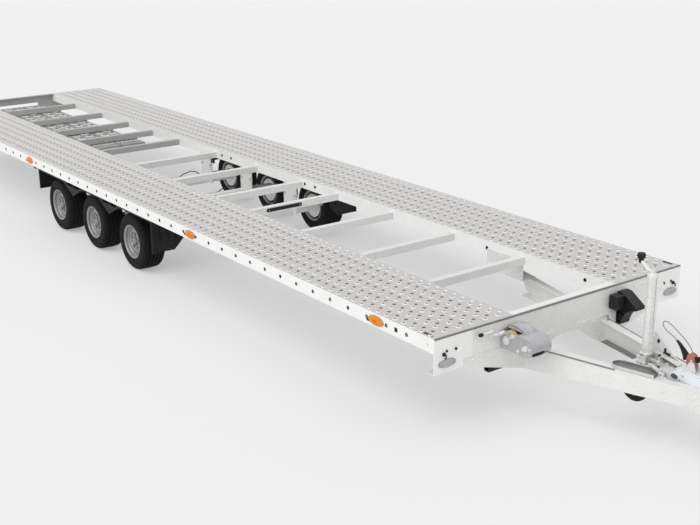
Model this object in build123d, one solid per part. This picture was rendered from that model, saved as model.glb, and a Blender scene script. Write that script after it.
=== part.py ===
from build123d import *
import math
import os

# A two-car transporter trailer: two plank runways on a galvanised frame, three braked
# torsion axles, a V drawbar with an overrun coupling, a jockey wheel and two ramps that
# slide out from under the deck. Millimetres. X forward, Y to the left, Z up from the ground.
# Places along X are measured from the front edge of the deck until save() moves the whole
# trailer so that its origin lies on the ground below the middle of its overall box.

# ---------------------------------------------------------------- driving dimensions
deck_length = 8640.0        # front edge to rear edge of the planks
deck_width = 2100.0         # over the two side rails
deck_height = 616.0         # top of the planks above the ground
runway_width = 610.0        # side rail face to inner rail face
plank_depth = 30.0
plank_wall = 2.5
planks_per_runway = 3
plank_gap = 4.0

rail_height = 86.0          # side rails and inner rails
rail_wall = 3.0
rail_flange = 45.0
rail_hole_radius = 8.0
rail_hole_pitch = 182.0     # row of fixing and lashing holes along each side rail
rail_hole_drop = 44.0       # below the top of the planks
rail_hole_first = 49.0      # first hole behind the front edge

member_width = 50.0         # cross-members, rectangular tube
member_wall = 3.0

front_beam_height = 214.0
front_beam_wall = 4.0
front_beam_flange = 60.0
rear_beam_height = 150.0
rear_beam_depth = 50.0
rear_beam_wall = 4.0

wheel_radius = 234.0        # 195/55 R10C
tyre_width = 195.0
tread_width = 160.0
bead_radius = 127.0
flange_radius = 139.0
rim_wall = 5.0
tyre_inset = 63.0           # side rail face to the tyre's outer wall
axle_spacing = 712.0
first_axle_x = -3783.0

axle_tube = 80.0            # square torsion tube
axle_lead = 150.0           # tube centre ahead of the wheel centre
axle_rise = 60.0            # tube centre above the wheel centre
arm_width = 45.0
arm_thick = 50.0
stub_radius = 19.0
stub_clearance = 0.1
stub_step = 12.0            # end of the stub inside the hub's face
bead_step = 12.0            # bead inside the tyre's side wall
lip_gap = 1.0
shoulder_step = 5.0
rim_edge = 8.0              # rim flange outside the bead
disc_offset = 22.0          # wheel disc outside the tyre's middle
hub_face = 62.0
arm_gap = 14.0              # trailing arm to the tyre
drum_radius = 108.0
drum_width = 62.0
hanger_wall = 8.0
hanger_width = 190.0
hub_radius = 46.0

guard_wall = 4.0
guard_clearance = 38.0      # tyre to mudguard, above the tyre
guard_overhang = 12.0       # mudguard wider than the tyre on each side
guard_reach = 383.0         # wheel centre to the front and the rear flap
guard_shoulder = 166.0      # wheel centre to the fold above the tyre
guard_valley = 94.0         # fold between two wheels, below the shoulder
flap_wall = 4.0
flap_extra = 66.0           # flaps wider than the guards, towards the middle
flap_corner = 85.0
flap_front_low = 230.0
flap_rear_low = 310.0
guard_bracket_length = 40.0
guard_bracket_depth = 15.0

leg_height_root = 145.0     # drawbar leg at the front beam
leg_height_tip = 105.0      # drawbar leg at the overrun housing
leg_flange = 60.0
leg_wall = 5.0
leg_drop = 201.0            # top of the legs below the top of the planks
leg_root_inset = 79.0       # inner rail's face to a leg's outer face, at the front beam
leg_rear_x = -1016.0
leg_rear_cut = 136.0        # slanted rear end, measured along the leg
leg_bend_x = 960.0          # here the legs turn parallel beside the overrun housing
leg_front_x = 1330.0
gusset_wall = 6.0
gusset_reach_out = 470.0    # from a leg's outer face towards the side rail
gusset_reach_in = 200.0     # from a leg's inner face towards the middle
gusset_lap = 44.0           # height bolted to the front beam
bracket_wall = 6.0
bracket_front_x = -800.0
bracket_rear_x = -1147.0
bracket_top = 53.0          # below the top of the planks
seat_gap = 0.3              # faces that seat on a slanted or round neighbour

housing_width = 116.0       # overrun housing, between the legs
housing_rise = 53.0         # its top above the legs
housing_depth = 122.0
housing_rear_x = 790.0
housing_wall = 8.0
tube_radius = 30.0          # sliding coupling tube
tube_rise = 15.0            # its centre above the top of the legs
tube_engaged = 300.0        # length of the tube inside the housing
gaiter_folds = 6
gaiter_pitch = 24.0
gaiter_valley = 12.0        # bellows over the tube: valleys and ridges
gaiter_ridge = 22.0
coupling_nose_x = 1760.0
coupling_ball_radius = 25.0
coupling_ball_play = 0.5
coupling_ball_inset = 52.0  # nose of the coupling head to the ball's centre
cup_radius = 46.0
cup_top = 34.0              # above the ball's centre
cup_skirt = 18.0            # below the ball's centre
sleeve_wall = 8.0
sleeve_length = 120.0

jockey_x = 600.0
jockey_tube_radius = 24.0
jockey_inner_radius = 20.0
jockey_head = 526.0         # top of the outer tube above the legs
jockey_tail = 23.0          # bottom of the outer tube below the top of the legs
jockey_cap = 10.0
jockey_wheel_radius = 90.0
jockey_wheel_width = 50.0
jockey_trail = 55.0
jockey_clearance = 0.6
jockey_travel = 160.0       # the wheel, drawn wound up, winds down this far to the ground
jockey_axle_radius = 6.0
fork_wall = 5.0
fork_gap = 6.0              # wheel to fork cheek
fork_headroom = 22.0        # wheel to fork crown
fork_crown = 8.0
swivel_pin_radius = 9.0
swivel_pin_length = 40.0
bridge_behind = 70.0        # bridge plate behind and ahead of the jockey tube
bridge_ahead = 160.0
bridge_wall = 8.0
clamp_half_length = 34.0
clamp_half_width = 38.0
clamp_height = 55.0

winch_length = 257.0        # front beam to the winch's nose
winch_width = 150.0
winch_height = 110.0
winch_reach = 114.0         # middle of the winch, out from the right leg's face at the front beam
winch_drop = 56.0           # top of the winch below the top of the planks
winch_wall = 5.0
winch_hood = 130.0          # the hood over the drive covers this much of the nose
strap_radius = 42.0         # webbing rolled on the drum
drum_shaft_radius = 11.0
crank_reach = 95.0
crank_radius = 13.0

chock_width = 160.0
chock_length = 210.0
chock_height = 150.0
chock_nose = 30.0           # blunt edge
chock_front_gap = 6.5       # clear of the leg's face
chock_front_low = 51.0      # below the top of the legs
chock_rear_gap = 26.0
chock_rear_low = 135.0

marker_length = 110.0       # side marker lamps
marker_height = 46.0
marker_depth = 12.0
side_marker_xs = [-507.0, -2680.0, -5651.0]
front_marker_length = 116.0
front_marker_height = 52.0
front_marker_depth = 30.0
front_marker_inset = 100.0  # from the side rail's outer face
front_marker_drop = 158.0   # below the top of the planks
rear_lamp_length = 240.0
rear_lamp_height = 120.0
rear_lamp_inset = 70.0      # from the side rail's outer face
rear_lamp_drop = 20.0       # below the top of the planks

ramp_length = 2600.0
ramp_width = 245.0
ramp_height = 52.0
ramp_front_x = -5900.0
ramp_wall = 4.0
ramp_clearance = 6.0
ramp_gap = 10.0             # between the two ramps
runner_length = 40.0

lamp_overhang = 26.0        # rear lamps behind the rear beam

handle_width = 30.0         # lever on the coupling head
handle_wall = 14.0
handle_length = 190.0
handle_lift = 52.0

brake_pivot_x = 915.0       # parking brake lever
brake_pivot_rise = 66.0     # above the housing
brake_pivot_radius = 26.0
brake_blade = 10.0
brake_lever_run = 340.0
brake_lever_rise = 120.0
brake_grip = 30.0
brake_grip_length = 120.0
cable_radius = 2.0          # breakaway cable
cable_y = 26.0

socket_rear_x = 559.0       # upright plate on the bridge
socket_y = 98.0
socket_length = 195.0
socket_height = 151.0
socket_wall = 6.0
socket_slots = 3
socket_slot = 10.0

# ---------------------------------------------------------------- worked-out places
overall_length = deck_length + lamp_overhang + coupling_nose_x
origin_shift_x = overall_length / 2 - coupling_nose_x
deck_rear_x = -deck_length
rail_y = deck_width / 2
inner_rail_y = rail_y - runway_width
rail_bottom = deck_height - rail_height
member_top = deck_height - plank_depth
member_height = member_top - rail_bottom
tyre_outer_y = rail_y - tyre_inset
tyre_inner_y = tyre_outer_y - tyre_width
wheel_y = (tyre_outer_y + tyre_inner_y) / 2
axle_xs = [first_axle_x - axle_spacing * n for n in range(3)]
beam_bottom = deck_height - front_beam_height
leg_top = deck_height - leg_drop
leg_root_y = inner_rail_y - leg_root_inset
leg_tip_y = housing_width / 2 + leg_flange
leg_slope = (leg_root_y - leg_tip_y) / leg_bend_x
tube_z = leg_top + tube_rise
jockey_top = leg_top + jockey_head
guard_top = 2 * wheel_radius + guard_clearance
sides = {"left": 1, "right": -1}


# ---------------------------------------------------------------- small helpers
def block(x0, x1, y0, y1, z0, z1):
    """A box between two corners."""
    size = (abs(x1 - x0), abs(y1 - y0), abs(z1 - z0))
    return Pos((x0 + x1) / 2, (y0 + y1) / 2, (z0 + z1) / 2) * Box(*size)


def bar_y(points_xz, y0, y1):
    """A closed outline in the XZ plane, run from y0 to y1."""
    face = make_face(Polyline(*[(x, 0, z) for x, z in points_xz], close=True))
    return Pos(0, min(y0, y1), 0) * extrude(face, abs(y1 - y0), dir=(0, 1, 0))


def bar_x(points_yz, x0, x1):
    """A closed outline in the YZ plane, run from x0 to x1."""
    face = make_face(Polyline(*[(0, y, z) for y, z in points_yz], close=True))
    return Pos(min(x0, x1), 0, 0) * extrude(face, abs(x1 - x0), dir=(1, 0, 0))


def bar_z(points_xy, z0, z1):
    """A closed outline in the XY plane, run from z0 to z1."""
    face = make_face(Polyline(*[(x, y, 0) for x, y in points_xy], close=True))
    return Pos(0, 0, min(z0, z1)) * extrude(face, abs(z1 - z0), dir=(0, 0, 1))


def rod_x(x0, x1, y, z, radius):
    return Pos((x0 + x1) / 2, y, z) * Rot(0, 90, 0) * Cylinder(radius, abs(x1 - x0))


def rod_y(x, y0, y1, z, radius):
    return Pos(x, (y0 + y1) / 2, z) * Rot(90, 0, 0) * Cylinder(radius, abs(y1 - y0))


def rod_z(x, y, z0, z1, radius):
    return Pos(x, y, (z0 + z1) / 2) * Cylinder(radius, abs(z1 - z0))


def ring_y(profile, x, y, z):
    """A ring turned about an axis along Y; the profile lists (radius, place along Y)."""
    face = make_face(Polyline(*[(r, s, 0) for r, s in profile], close=True))
    return Pos(x, y, z) * revolve(face, Axis.Y, 360)


def mirrored(shape, side):
    """The left piece as it is, or its mirror image on the right."""
    return shape if side > 0 else mirror(shape, Plane.XZ)


def save(name, *solids):
    moved = [Pos(origin_shift_x, 0, 0) * s for s in solids]
    flat = [one for shape in moved for one in shape.solids()]
    shape = flat[0] if len(flat) == 1 else Compound(children=flat)
    shape.label = name
    export_step(shape, f"parts/{name}.step")


os.makedirs("parts", exist_ok=True)


# ---------------------------------------------------------------- rails
def side_rail():
    """Folded channel, open towards the middle, with its row of holes in the web."""
    rail = block(deck_rear_x, 0, rail_y - rail_flange, rail_y, rail_bottom, deck_height)
    rail -= block(deck_rear_x, 0, rail_y - rail_flange, rail_y - rail_wall,
                  rail_bottom + rail_wall, deck_height - rail_wall)
    count = int((deck_length - 2 * rail_hole_first) // rail_hole_pitch) + 1
    holes = [rod_y(-rail_hole_first - rail_hole_pitch * n, rail_y - 2 * rail_wall, rail_y + rail_wall,
                   deck_height - rail_hole_drop, rail_hole_radius) for n in range(count)]
    return rail - holes


def inner_rail():
    """Channel along the inner edge of a runway, open towards the side rail."""
    rail = block(deck_rear_x, 0, inner_rail_y, inner_rail_y + rail_flange, rail_bottom, deck_height)
    return rail - block(deck_rear_x, 0, inner_rail_y + rail_wall, inner_rail_y + rail_flange,
                        rail_bottom + rail_wall, deck_height - rail_wall)


def runway():
    """Planks between the two rails: shallow channels, open below."""
    inside = inner_rail_y + rail_flange
    outside = rail_y - rail_flange
    pitch = (outside - inside) / planks_per_runway
    planks = []
    for n in range(planks_per_runway):
        y0 = inside + pitch * n + plank_gap / 2
        y1 = y0 + pitch - plank_gap
        plank = block(deck_rear_x, 0, y0, y1, member_top, deck_height)
        plank -= block(deck_rear_x, 0, y0 + plank_wall, y1 - plank_wall,
                       member_top, deck_height - plank_wall)
        planks.append(plank)
    return planks


for word, side in sides.items():
    save(f"side_rail_{word}", mirrored(side_rail(), side))
    save(f"inner_rail_{word}", mirrored(inner_rail(), side))
    save(f"runway_{word}", *[mirrored(plank, side) for plank in runway()])


# ---------------------------------------------------------------- cross-members and end beams
def cross_member(x):
    """Rectangular tube under the planks: one length between the inner rails, one under each runway."""
    low, high = rail_bottom + rail_wall, member_top
    x0, x1 = x - member_width / 2, x + member_width / 2
    pieces = []
    for y0, y1 in ((-inner_rail_y, inner_rail_y), (inner_rail_y + rail_wall, rail_y - rail_wall),
                   (rail_wall - rail_y, -inner_rail_y - rail_wall)):
        bore = block(x0 + member_wall, x1 - member_wall, y0, y1, low + member_wall, high - member_wall)
        pieces.append(block(x0, x1, y0, y1, low, high) - bore)
    return pieces


member_rows = {             # node: places along X
    "cross_members_front": [-817, -1520, -2221, -2925],
    "cross_members_middle": [-3430, -4139, -4851],
    "cross_members_rear": [-5560, -6112, -6660, -7300, -8000],
}
for name, places in member_rows.items():
    save(name, *[piece for x in places for piece in cross_member(x)])


def front_beam():
    """Deep folded channel across the front, open to the rear, under the front lip of the deck."""
    beam = block(0, front_beam_wall, -rail_y, rail_y, beam_bottom, deck_height)
    beam += block(-front_beam_flange, 0, -inner_rail_y, inner_rail_y,
                  deck_height - front_beam_wall, deck_height)
    return beam + block(-front_beam_flange, 0, -rail_y, rail_y,
                        beam_bottom, beam_bottom + front_beam_wall)


def rear_beam():
    """Folded channel across the rear, with a slot in the middle for the two ramps."""
    x0, x1 = deck_rear_x - rear_beam_wall, deck_rear_x
    bottom = deck_height - rear_beam_height
    beam = block(x0, x1, -rail_y, rail_y, bottom, deck_height)
    beam += block(x1, x1 + rear_beam_depth, -inner_rail_y, inner_rail_y,
                  deck_height - rear_beam_wall, deck_height)
    slot_half = ramp_width + ramp_gap / 2 + ramp_clearance
    slot_bottom = rail_bottom - ramp_height - 2 * ramp_clearance
    return beam - block(x0, x1, -slot_half, slot_half, slot_bottom, rail_bottom)


# ---------------------------------------------------------------- drawbar
def leg_y(x, inward):
    """Distance of a line of the leg from the middle, inward of its outer face."""
    return leg_root_y - leg_slope * min(x, leg_bend_x) - inward


def leg_plan(outer, inner):
    """Plan outline of a leg between two lines inward of its outer face."""
    xs = [leg_rear_x, leg_bend_x, leg_front_x]
    return [(x, leg_y(x, outer)) for x in xs] + [(x, leg_y(x, inner)) for x in reversed(xs)]


def leg_side(skin):
    """Side outline of a leg, inside its skin: straight top, underside rising to the front."""
    low_root, low_tip = leg_top - leg_height_root, leg_top - leg_height_tip
    rear = leg_rear_x - 2 * skin
    return [(rear, leg_top - skin), (leg_front_x, leg_top - skin),
            (leg_front_x, low_tip + skin), (leg_bend_x, low_tip + skin),
            (0, low_root + skin), (rear + leg_rear_cut, low_root + skin)]


def leg_body():
    """The leg's outline, filled."""
    return bar_z(leg_plan(0, leg_flange), 0, leg_top) & bar_y(leg_side(0), 0, rail_y)


def leg():
    """Folded channel, open towards the middle."""
    hollow = bar_z(leg_plan(leg_wall, 2 * leg_flange), 0, leg_top)
    return leg_body() - (hollow & bar_y(leg_side(leg_wall), -rail_y, rail_y))


def leg_bracket():
    """Angle that bolts the rear of a leg to the inner rail's web: a plate and a foot on the leg."""
    y1 = inner_rail_y
    plate = block(bracket_rear_x, bracket_front_x, y1 - bracket_wall, y1,
                  leg_top, deck_height - bracket_top)
    foot = block(leg_rear_x, bracket_front_x, y1 - bracket_wall, leg_y(bracket_front_x, 0),
                 leg_top, leg_top + bracket_wall)
    notch = member_width / 2 + seat_gap
    member_x = member_rows["cross_members_front"][0]
    return plate + foot - block(member_x - notch, member_x + notch, 0, inner_rail_y,
                                rail_bottom + rail_wall - seat_gap, deck_height)


def gusset():
    """Plate under the front beam that grips a leg on both sides."""
    x0, x1 = front_beam_wall, front_beam_wall + gusset_wall
    outer_y, inner_y = leg_y(x1, 0), leg_y(x1, leg_flange)
    low, high = leg_top - leg_height_root, beam_bottom + gusset_lap
    out, middle = outer_y + gusset_reach_out, inner_y - gusset_reach_in
    plate = bar_x([(out, beam_bottom), (outer_y, low), (inner_y, low), (middle, beam_bottom),
                   (middle, high), (out, high)], x0, x1)
    return plate - leg_body()


def drawbar_bridge():
    """Plate between the legs that carries the jockey wheel's clamp."""
    x0, x1 = jockey_x - bridge_behind, jockey_x + bridge_ahead
    plan = [(x0, leg_y(x0, leg_flange)), (x1, leg_y(x1, leg_flange)),
            (x1, -leg_y(x1, leg_flange)), (x0, -leg_y(x0, leg_flange))]
    plate = bar_z(plan, leg_top - bridge_wall, leg_top)
    return plate - rod_z(jockey_x, 0, 0, deck_height, jockey_tube_radius + jockey_clearance)


housing_half = housing_width / 2
housing_top = leg_top + housing_rise
housing_bottom = housing_top - housing_depth


def overrun_housing():
    """Cast housing of the overrun brake between the legs, its rear end cut away above and below."""
    x0, x1 = housing_rear_x, leg_front_x
    shoulder = housing_depth / 2
    side = [(x0, housing_top - shoulder / 2), (x0 + shoulder, housing_top), (x1, housing_top),
            (x1, housing_bottom), (x0 + 2 * shoulder, housing_bottom), (x0, housing_bottom + shoulder / 2)]
    body = bar_y(side, -housing_half, housing_half)
    return body - rod_x(x1 - tube_engaged, x1, 0, tube_z, tube_radius)


def gaiter():
    """Rubber bellows between the housing and the coupling head."""
    ridges = []
    for n in range(gaiter_folds):
        x = leg_front_x + gaiter_pitch * n
        ridges += [(x, tube_radius + gaiter_valley), (x + gaiter_pitch / 2, tube_radius + gaiter_ridge)]
    end = leg_front_x + gaiter_pitch * gaiter_folds
    outline = [(leg_front_x, tube_radius)] + ridges + [(end, tube_radius + gaiter_valley), (end, tube_radius)]
    face = make_face(Polyline(*[(x, r, 0) for x, r in outline], close=True))
    return Pos(0, 0, tube_z) * revolve(face, Axis.X, 360)


sleeve_x = leg_front_x + gaiter_pitch * gaiter_folds
ball_x = coupling_nose_x - coupling_ball_inset
tube_end_x = sleeve_x + sleeve_length - sleeve_wall


def coupling_tube():
    return rod_x(leg_front_x - tube_engaged, tube_end_x, 0, tube_z, tube_radius)


def coupling_head():
    """Pressed steel head: a sleeve on the tube, a neck, and a ball cup that is open below."""
    sleeve = rod_x(sleeve_x, sleeve_x + sleeve_length, 0, tube_z, tube_radius + sleeve_wall)
    sleeve -= rod_x(sleeve_x, tube_end_x, 0, tube_z, tube_radius)
    low, high = tube_z - cup_skirt, tube_z + cup_top
    head = sleeve + rod_z(ball_x, 0, low, high, cup_radius)
    neck = tube_radius + sleeve_wall
    head += block(tube_end_x, ball_x, -neck, neck, low, high)
    head += block(ball_x, coupling_nose_x, -tube_radius, tube_radius, low + sleeve_wall, high - 2 * sleeve_wall)
    cup = coupling_ball_radius + coupling_ball_play
    return head - Pos(ball_x, 0, tube_z) * Sphere(cup) - rod_z(ball_x, 0, low, tube_z, cup)


handle_width, handle_wall, handle_length, handle_lift = 30.0, 14.0, 190.0, 52.0


def coupling_handle():
    """Lever on top of the head, pulled up and forward to open it."""
    low = tube_z + cup_top
    front, bend, rear = ball_x + handle_width, ball_x - handle_width, ball_x - handle_length
    outline = [(front, low), (front, low + handle_wall), (bend, low + handle_wall),
               (rear, low + handle_lift + handle_wall), (rear, low + handle_lift), (bend - handle_wall, low)]
    return bar_y(outline, -handle_width / 2, handle_width / 2)


def handbrake_lever():
    """Parking brake lever in its bracket on top of the housing, let down to the front."""
    pivot_z = housing_top + brake_pivot_rise
    half = brake_blade / 2
    bracket = block(brake_pivot_x - brake_pivot_radius, brake_pivot_x + brake_pivot_radius,
                    -brake_blade, brake_blade, housing_top, pivot_z)
    boss = rod_y(brake_pivot_x, -brake_blade - half, brake_blade + half, pivot_z, brake_pivot_radius)
    end_x, end_z = brake_pivot_x + brake_lever_run, pivot_z + brake_lever_rise
    blade = bar_y([(brake_pivot_x, pivot_z - brake_blade), (end_x, end_z - brake_blade),
                   (end_x, end_z + brake_blade), (brake_pivot_x, pivot_z + 2 * brake_blade)], -half, half)
    grip = bar_y([(end_x, end_z - brake_grip / 2), (end_x + brake_grip_length, end_z),
                  (end_x + brake_grip_length, end_z + brake_grip), (end_x, end_z + brake_grip / 2)],
                 -brake_grip / 2, brake_grip / 2)
    return bracket + boss + blade + grip


cable_route = [             # along X, above the top of the legs; both ends seat on the housing
    (912, housing_rise), (912, 96), (890, 150), (844, 197), (788, 231), (734, 260), (697, 275),
    (672, 250), (698, 218), (757, 198), (807, 165), (844, 121), (863, 88), (863, housing_rise),
]
cable_run_share = 0.45      # of the shorter run beside a corner that its arc takes up


def breakaway_cable():
    """Coated steel cable that applies the brake if the trailer comes off: a stiff standing loop."""
    points = [Vector(x, cable_y, leg_top + z) for x, z in cable_route]
    radii = []
    for before, here, after in zip(points, points[1:], points[2:]):
        turn = math.radians((here - before).get_angle(after - here))
        run = min((here - before).length, (after - here).length)
        radii.append(cable_run_share * run / math.tan(turn / 2))
    print("cable radii", [round(r) for r in radii])
    path = FilletPolyline(*points, radius=radii)
    return sweep(Plane(origin=points[0], z_dir=(0, 0, 1)) * Circle(cable_radius), path=path)


def socket_plate():
    """Upright three-cornered plate on the bridge with slots for the parked plug and the cable clips."""
    rear, front = socket_rear_x, socket_rear_x + socket_length
    low, tip = leg_top, 4 * socket_wall
    plate = bar_y([(rear, low), (front, low), (front, low + tip), (rear + tip, low + socket_height),
                   (rear, low + socket_height)], socket_y, socket_y + socket_wall)
    for n in range(socket_slots):
        share = (n + 1) / (socket_slots + 1)
        x, z = rear + tip + (socket_length - tip) * share, low + socket_height * (1 - share)
        plate -= Pos(x - socket_slot, socket_y + socket_wall / 2, z - socket_slot) * Box(
            socket_slot, 2 * socket_wall, 2 * socket_slot)
    return plate


leg_pair = leg_body() + mirrored(leg_body(), -1)
save("front_beam", front_beam() - leg_pair)
save("rear_beam", rear_beam())
for word, side in sides.items():
    save(f"drawbar_leg_{word}", mirrored(leg(), side))
save("leg_brackets", *[mirrored(leg_bracket(), side) for side in sides.values()])
save("drawbar_gussets", *[mirrored(gusset(), side) for side in sides.values()])
save("drawbar_bridge", drawbar_bridge())
save("socket_plate", socket_plate())
save("overrun_housing", overrun_housing())
save("gaiter", gaiter())
save("coupling_tube", coupling_tube())
save("coupling_head", coupling_head())
save("coupling_handle", coupling_handle())
save("handbrake_lever", handbrake_lever())
save("breakaway_cable", breakaway_cable())


# ---------------------------------------------------------------- jockey wheel
wheel_x = jockey_x - jockey_trail
wheel_z = jockey_travel + jockey_wheel_radius
fork_top = wheel_z + jockey_wheel_radius + fork_headroom
crank_arm, crank_rise, crank_wall, knob_radius, knob_height = 82.0, 44.0, 16.0, 18.0, 38.0


def jockey_clamp():
    """Split clamp on the bridge with its tightening screw to the front."""
    x0, x1 = jockey_x - clamp_half_length, jockey_x + clamp_half_length
    clamp = block(x0, x1, -clamp_half_width, clamp_half_width, leg_top, leg_top + clamp_height)
    clamp += rod_x(x1, x1 + clamp_height, 0, leg_top + clamp_height / 2, clamp_half_length / 3)
    return clamp - rod_z(jockey_x, 0, leg_top, leg_top + clamp_height, jockey_tube_radius)


def jockey_tube():
    low = leg_top - jockey_tail
    tube = rod_z(jockey_x, 0, low, jockey_top, jockey_tube_radius)
    return tube - rod_z(jockey_x, 0, low, jockey_top - jockey_cap,
                        jockey_inner_radius + jockey_clearance)


def jockey_crank():
    """Cranked arm on the tube's cap, with an upright knob."""
    half = crank_wall / 2
    end, top = jockey_x - crank_arm, jockey_top + crank_rise
    shank = rod_z(jockey_x, 0, jockey_top, jockey_top + crank_wall, jockey_tube_radius / 2)
    arm = bar_y([(jockey_x + half, jockey_top), (jockey_x + half, jockey_top + crank_wall),
                 (end + half, top + crank_wall), (end - half, top + crank_wall), (end - half, top),
                 (jockey_x - half, jockey_top)], -half, half)
    knob = rod_z(end, 0, top + crank_wall, top + crank_wall + knob_height, knob_radius)
    return shank + arm + knob


def jockey_leg():
    """Inner tube that the spindle lowers out of the outer one, bored for the fork's pin."""
    low = fork_top + seat_gap
    leg_tube = rod_z(jockey_x, 0, low, jockey_top - 5 * jockey_cap, jockey_inner_radius)
    return leg_tube - rod_z(jockey_x, 0, low, fork_top + swivel_pin_length + jockey_cap,
                            swivel_pin_radius + stub_clearance)


def jockey_fork():
    """Swivelling fork below the inner tube; its wheel trails."""
    half = jockey_wheel_width / 2 + fork_gap
    front, rear, foot = jockey_x + jockey_inner_radius, wheel_x - jockey_trail / 2, 3 * jockey_axle_radius
    low = wheel_z - foot
    fork = block(rear, front, -half - fork_wall, half + fork_wall, fork_top - fork_crown, fork_top)
    for side in sides.values():
        cheek = bar_y([(front, fork_top), (rear, fork_top), (wheel_x - foot, low),
                       (wheel_x + foot, low)], half, half + fork_wall)
        fork += mirrored(cheek, side)
    fork += rod_z(jockey_x, 0, fork_top, fork_top + swivel_pin_length, swivel_pin_radius)
    return fork + rod_y(wheel_x, -half - fork_wall, half + fork_wall, wheel_z, jockey_axle_radius)


def jockey_wheel():
    """Solid rubber tyre on a plastic centre with a recess on each side."""
    half, bevel = jockey_wheel_width / 2, jockey_wheel_width / 5
    bore, tread = jockey_axle_radius + stub_clearance, jockey_wheel_radius
    hub, hollow = tread * 0.4, tread * 0.7
    right = [(bore, -half), (hub, -half), (hub, bevel - half), (hollow, bevel - half), (hollow, -half),
             (tread - bevel, -half), (tread, bevel - half)]
    return ring_y(right + [(r, -s) for r, s in reversed(right)], wheel_x, 0, wheel_z)


save("jockey_clamp", jockey_clamp())
save("jockey_tube", jockey_tube())
save("jockey_crank", jockey_crank())
save("jockey_leg", jockey_leg())
save("jockey_fork", jockey_fork())
save("jockey_wheel", jockey_wheel())


# ---------------------------------------------------------------- winch, chocks, lamps
winch_x = front_beam_wall
winch_nose_x = winch_x + winch_length - winch_height / 2
winch_top = deck_height - winch_drop
winch_z = winch_top - winch_height / 2
winch_y = leg_root_y + winch_reach
winch_y0, winch_y1 = -winch_y - winch_width / 2, -winch_y + winch_width / 2
drum_x = winch_x + winch_wall + strap_radius + winch_wall
crank_x = winch_x + 2 * crank_radius
crank_z = winch_top - crank_radius


def winch_body(skin):
    """Outline of the winch inside its skin: square at the beam, round at the nose."""
    half = winch_height / 2 - skin
    body = block(winch_x + skin, winch_nose_x, winch_y0 + skin, winch_y1 - skin, winch_z - half, winch_z + half)
    return body + rod_y(winch_nose_x, winch_y0 + skin, winch_y1 - skin, winch_z, half)


def winch_frame():
    """Back plate, floor and two cheeks, with a round hood over the drive and a slot for the webbing."""
    inner_y0, inner_y1 = winch_y0 + winch_wall, winch_y1 - winch_wall
    hood_x = winch_x + winch_length - winch_hood
    frame = winch_body(0) - winch_body(winch_wall)
    frame -= block(winch_x + winch_wall, hood_x, inner_y0, inner_y1, winch_z, winch_top)
    frame -= block(winch_nose_x, winch_x + winch_length, inner_y0 + 2 * winch_wall, inner_y1 - 2 * winch_wall,
                   winch_z - winch_height / 2 + winch_wall, winch_z - winch_height / 4)
    frame += rod_y(winch_nose_x, winch_y0 - winch_wall, winch_y0, winch_z, drum_shaft_radius)
    return frame - rod_y(drum_x, winch_y0, winch_y1, winch_z, drum_shaft_radius + stub_clearance)


def winch_drum():
    """Rolled webbing on its shaft, which turns in the cheeks."""
    roll = rod_y(drum_x, winch_y0 + 2 * winch_wall, winch_y1 - 2 * winch_wall, winch_z, strap_radius)
    return roll + rod_y(drum_x, winch_y0, winch_y1, winch_z, drum_shaft_radius)


def winch_crank():
    """Crank on the drive shaft: boss against the near cheek, short arm, grip."""
    arm_y = winch_y0 - crank_reach
    boss = rod_y(crank_x, arm_y, winch_y0, crank_z, crank_radius * 0.7)
    arm = block(crank_x - crank_radius, crank_x + crank_radius, arm_y - winch_wall, arm_y,
                crank_z - crank_radius, crank_z + 3 * crank_radius)
    grip = rod_y(crank_x, arm_y - crank_reach, arm_y - winch_wall, crank_z + 2 * crank_radius, crank_radius)
    return boss + arm + grip


save("winch_frame", winch_frame())
save("winch_drum", winch_drum())
save("winch_crank", winch_crank())


def wheel_chock(x, y, low, facing):
    """Plastic wedge stowed nose down, its flat base on the panel."""
    top = low + chock_length
    side = [(x, low), (x, top), (x + facing * (chock_height - chock_nose), top),
            (x + facing * chock_height, top - chock_nose), (x + facing * chock_nose, low)]
    return bar_y(side, y - chock_width / 2, y + chock_width / 2)


def beside_leg(x, gap):
    """Middle of a chock that clears the leg's outer face at x by the gap."""
    return leg_root_y - leg_slope * x + gap + chock_width / 2


chock_front_x = front_beam_wall + gusset_wall
chock_rear_x = -front_beam_flange
save("wheel_chocks",
     wheel_chock(chock_front_x, beside_leg(chock_front_x, chock_front_gap), leg_top - chock_front_low, 1),
     wheel_chock(chock_rear_x, -beside_leg(chock_rear_x - chock_height, chock_rear_gap),
                 leg_top - chock_rear_low, -1))


def side_marker(x, side):
    z = deck_height - rail_hole_drop
    return Pos(x, side * (rail_y + marker_depth / 2), z) * Box(marker_length, marker_depth, marker_height)


def front_marker(side):
    """Oval position lamp on the front beam."""
    place = Plane(origin=(front_beam_wall, side * (rail_y - front_marker_inset), deck_height - front_marker_drop),
                  x_dir=(0, 1, 0), z_dir=(1, 0, 0))
    return extrude(place * SlotOverall(front_marker_length, front_marker_height), front_marker_depth)


def rear_lamp(side):
    y0 = side * (rail_y - rear_lamp_inset)
    x, top = deck_rear_x - rear_beam_wall, deck_height - rear_lamp_drop
    return block(deck_rear_x - lamp_overhang, x, y0, y0 - side * rear_lamp_length, top - rear_lamp_height, top)


save("side_markers", *[side_marker(x, side) for x in side_marker_xs for side in sides.values()])
save("front_markers", *[front_marker(side) for side in sides.values()])
save("rear_lamps", *[rear_lamp(side) for side in sides.values()])


# ---------------------------------------------------------------- ramps
def ramp(side):
    """Shallow channel, open below, stored lengthwise under the cross-members."""
    y0 = side * ramp_gap / 2
    y1 = y0 + side * ramp_width
    top = rail_bottom - ramp_clearance
    x0 = ramp_front_x - ramp_length
    body = block(x0, ramp_front_x, y0, y1, top - ramp_height, top)
    low, high = min(y0, y1) + ramp_wall, max(y0, y1) - ramp_wall
    return body - block(x0 + ramp_wall, ramp_front_x - ramp_wall, low, high,
                        top - ramp_height, top - ramp_wall)


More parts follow.
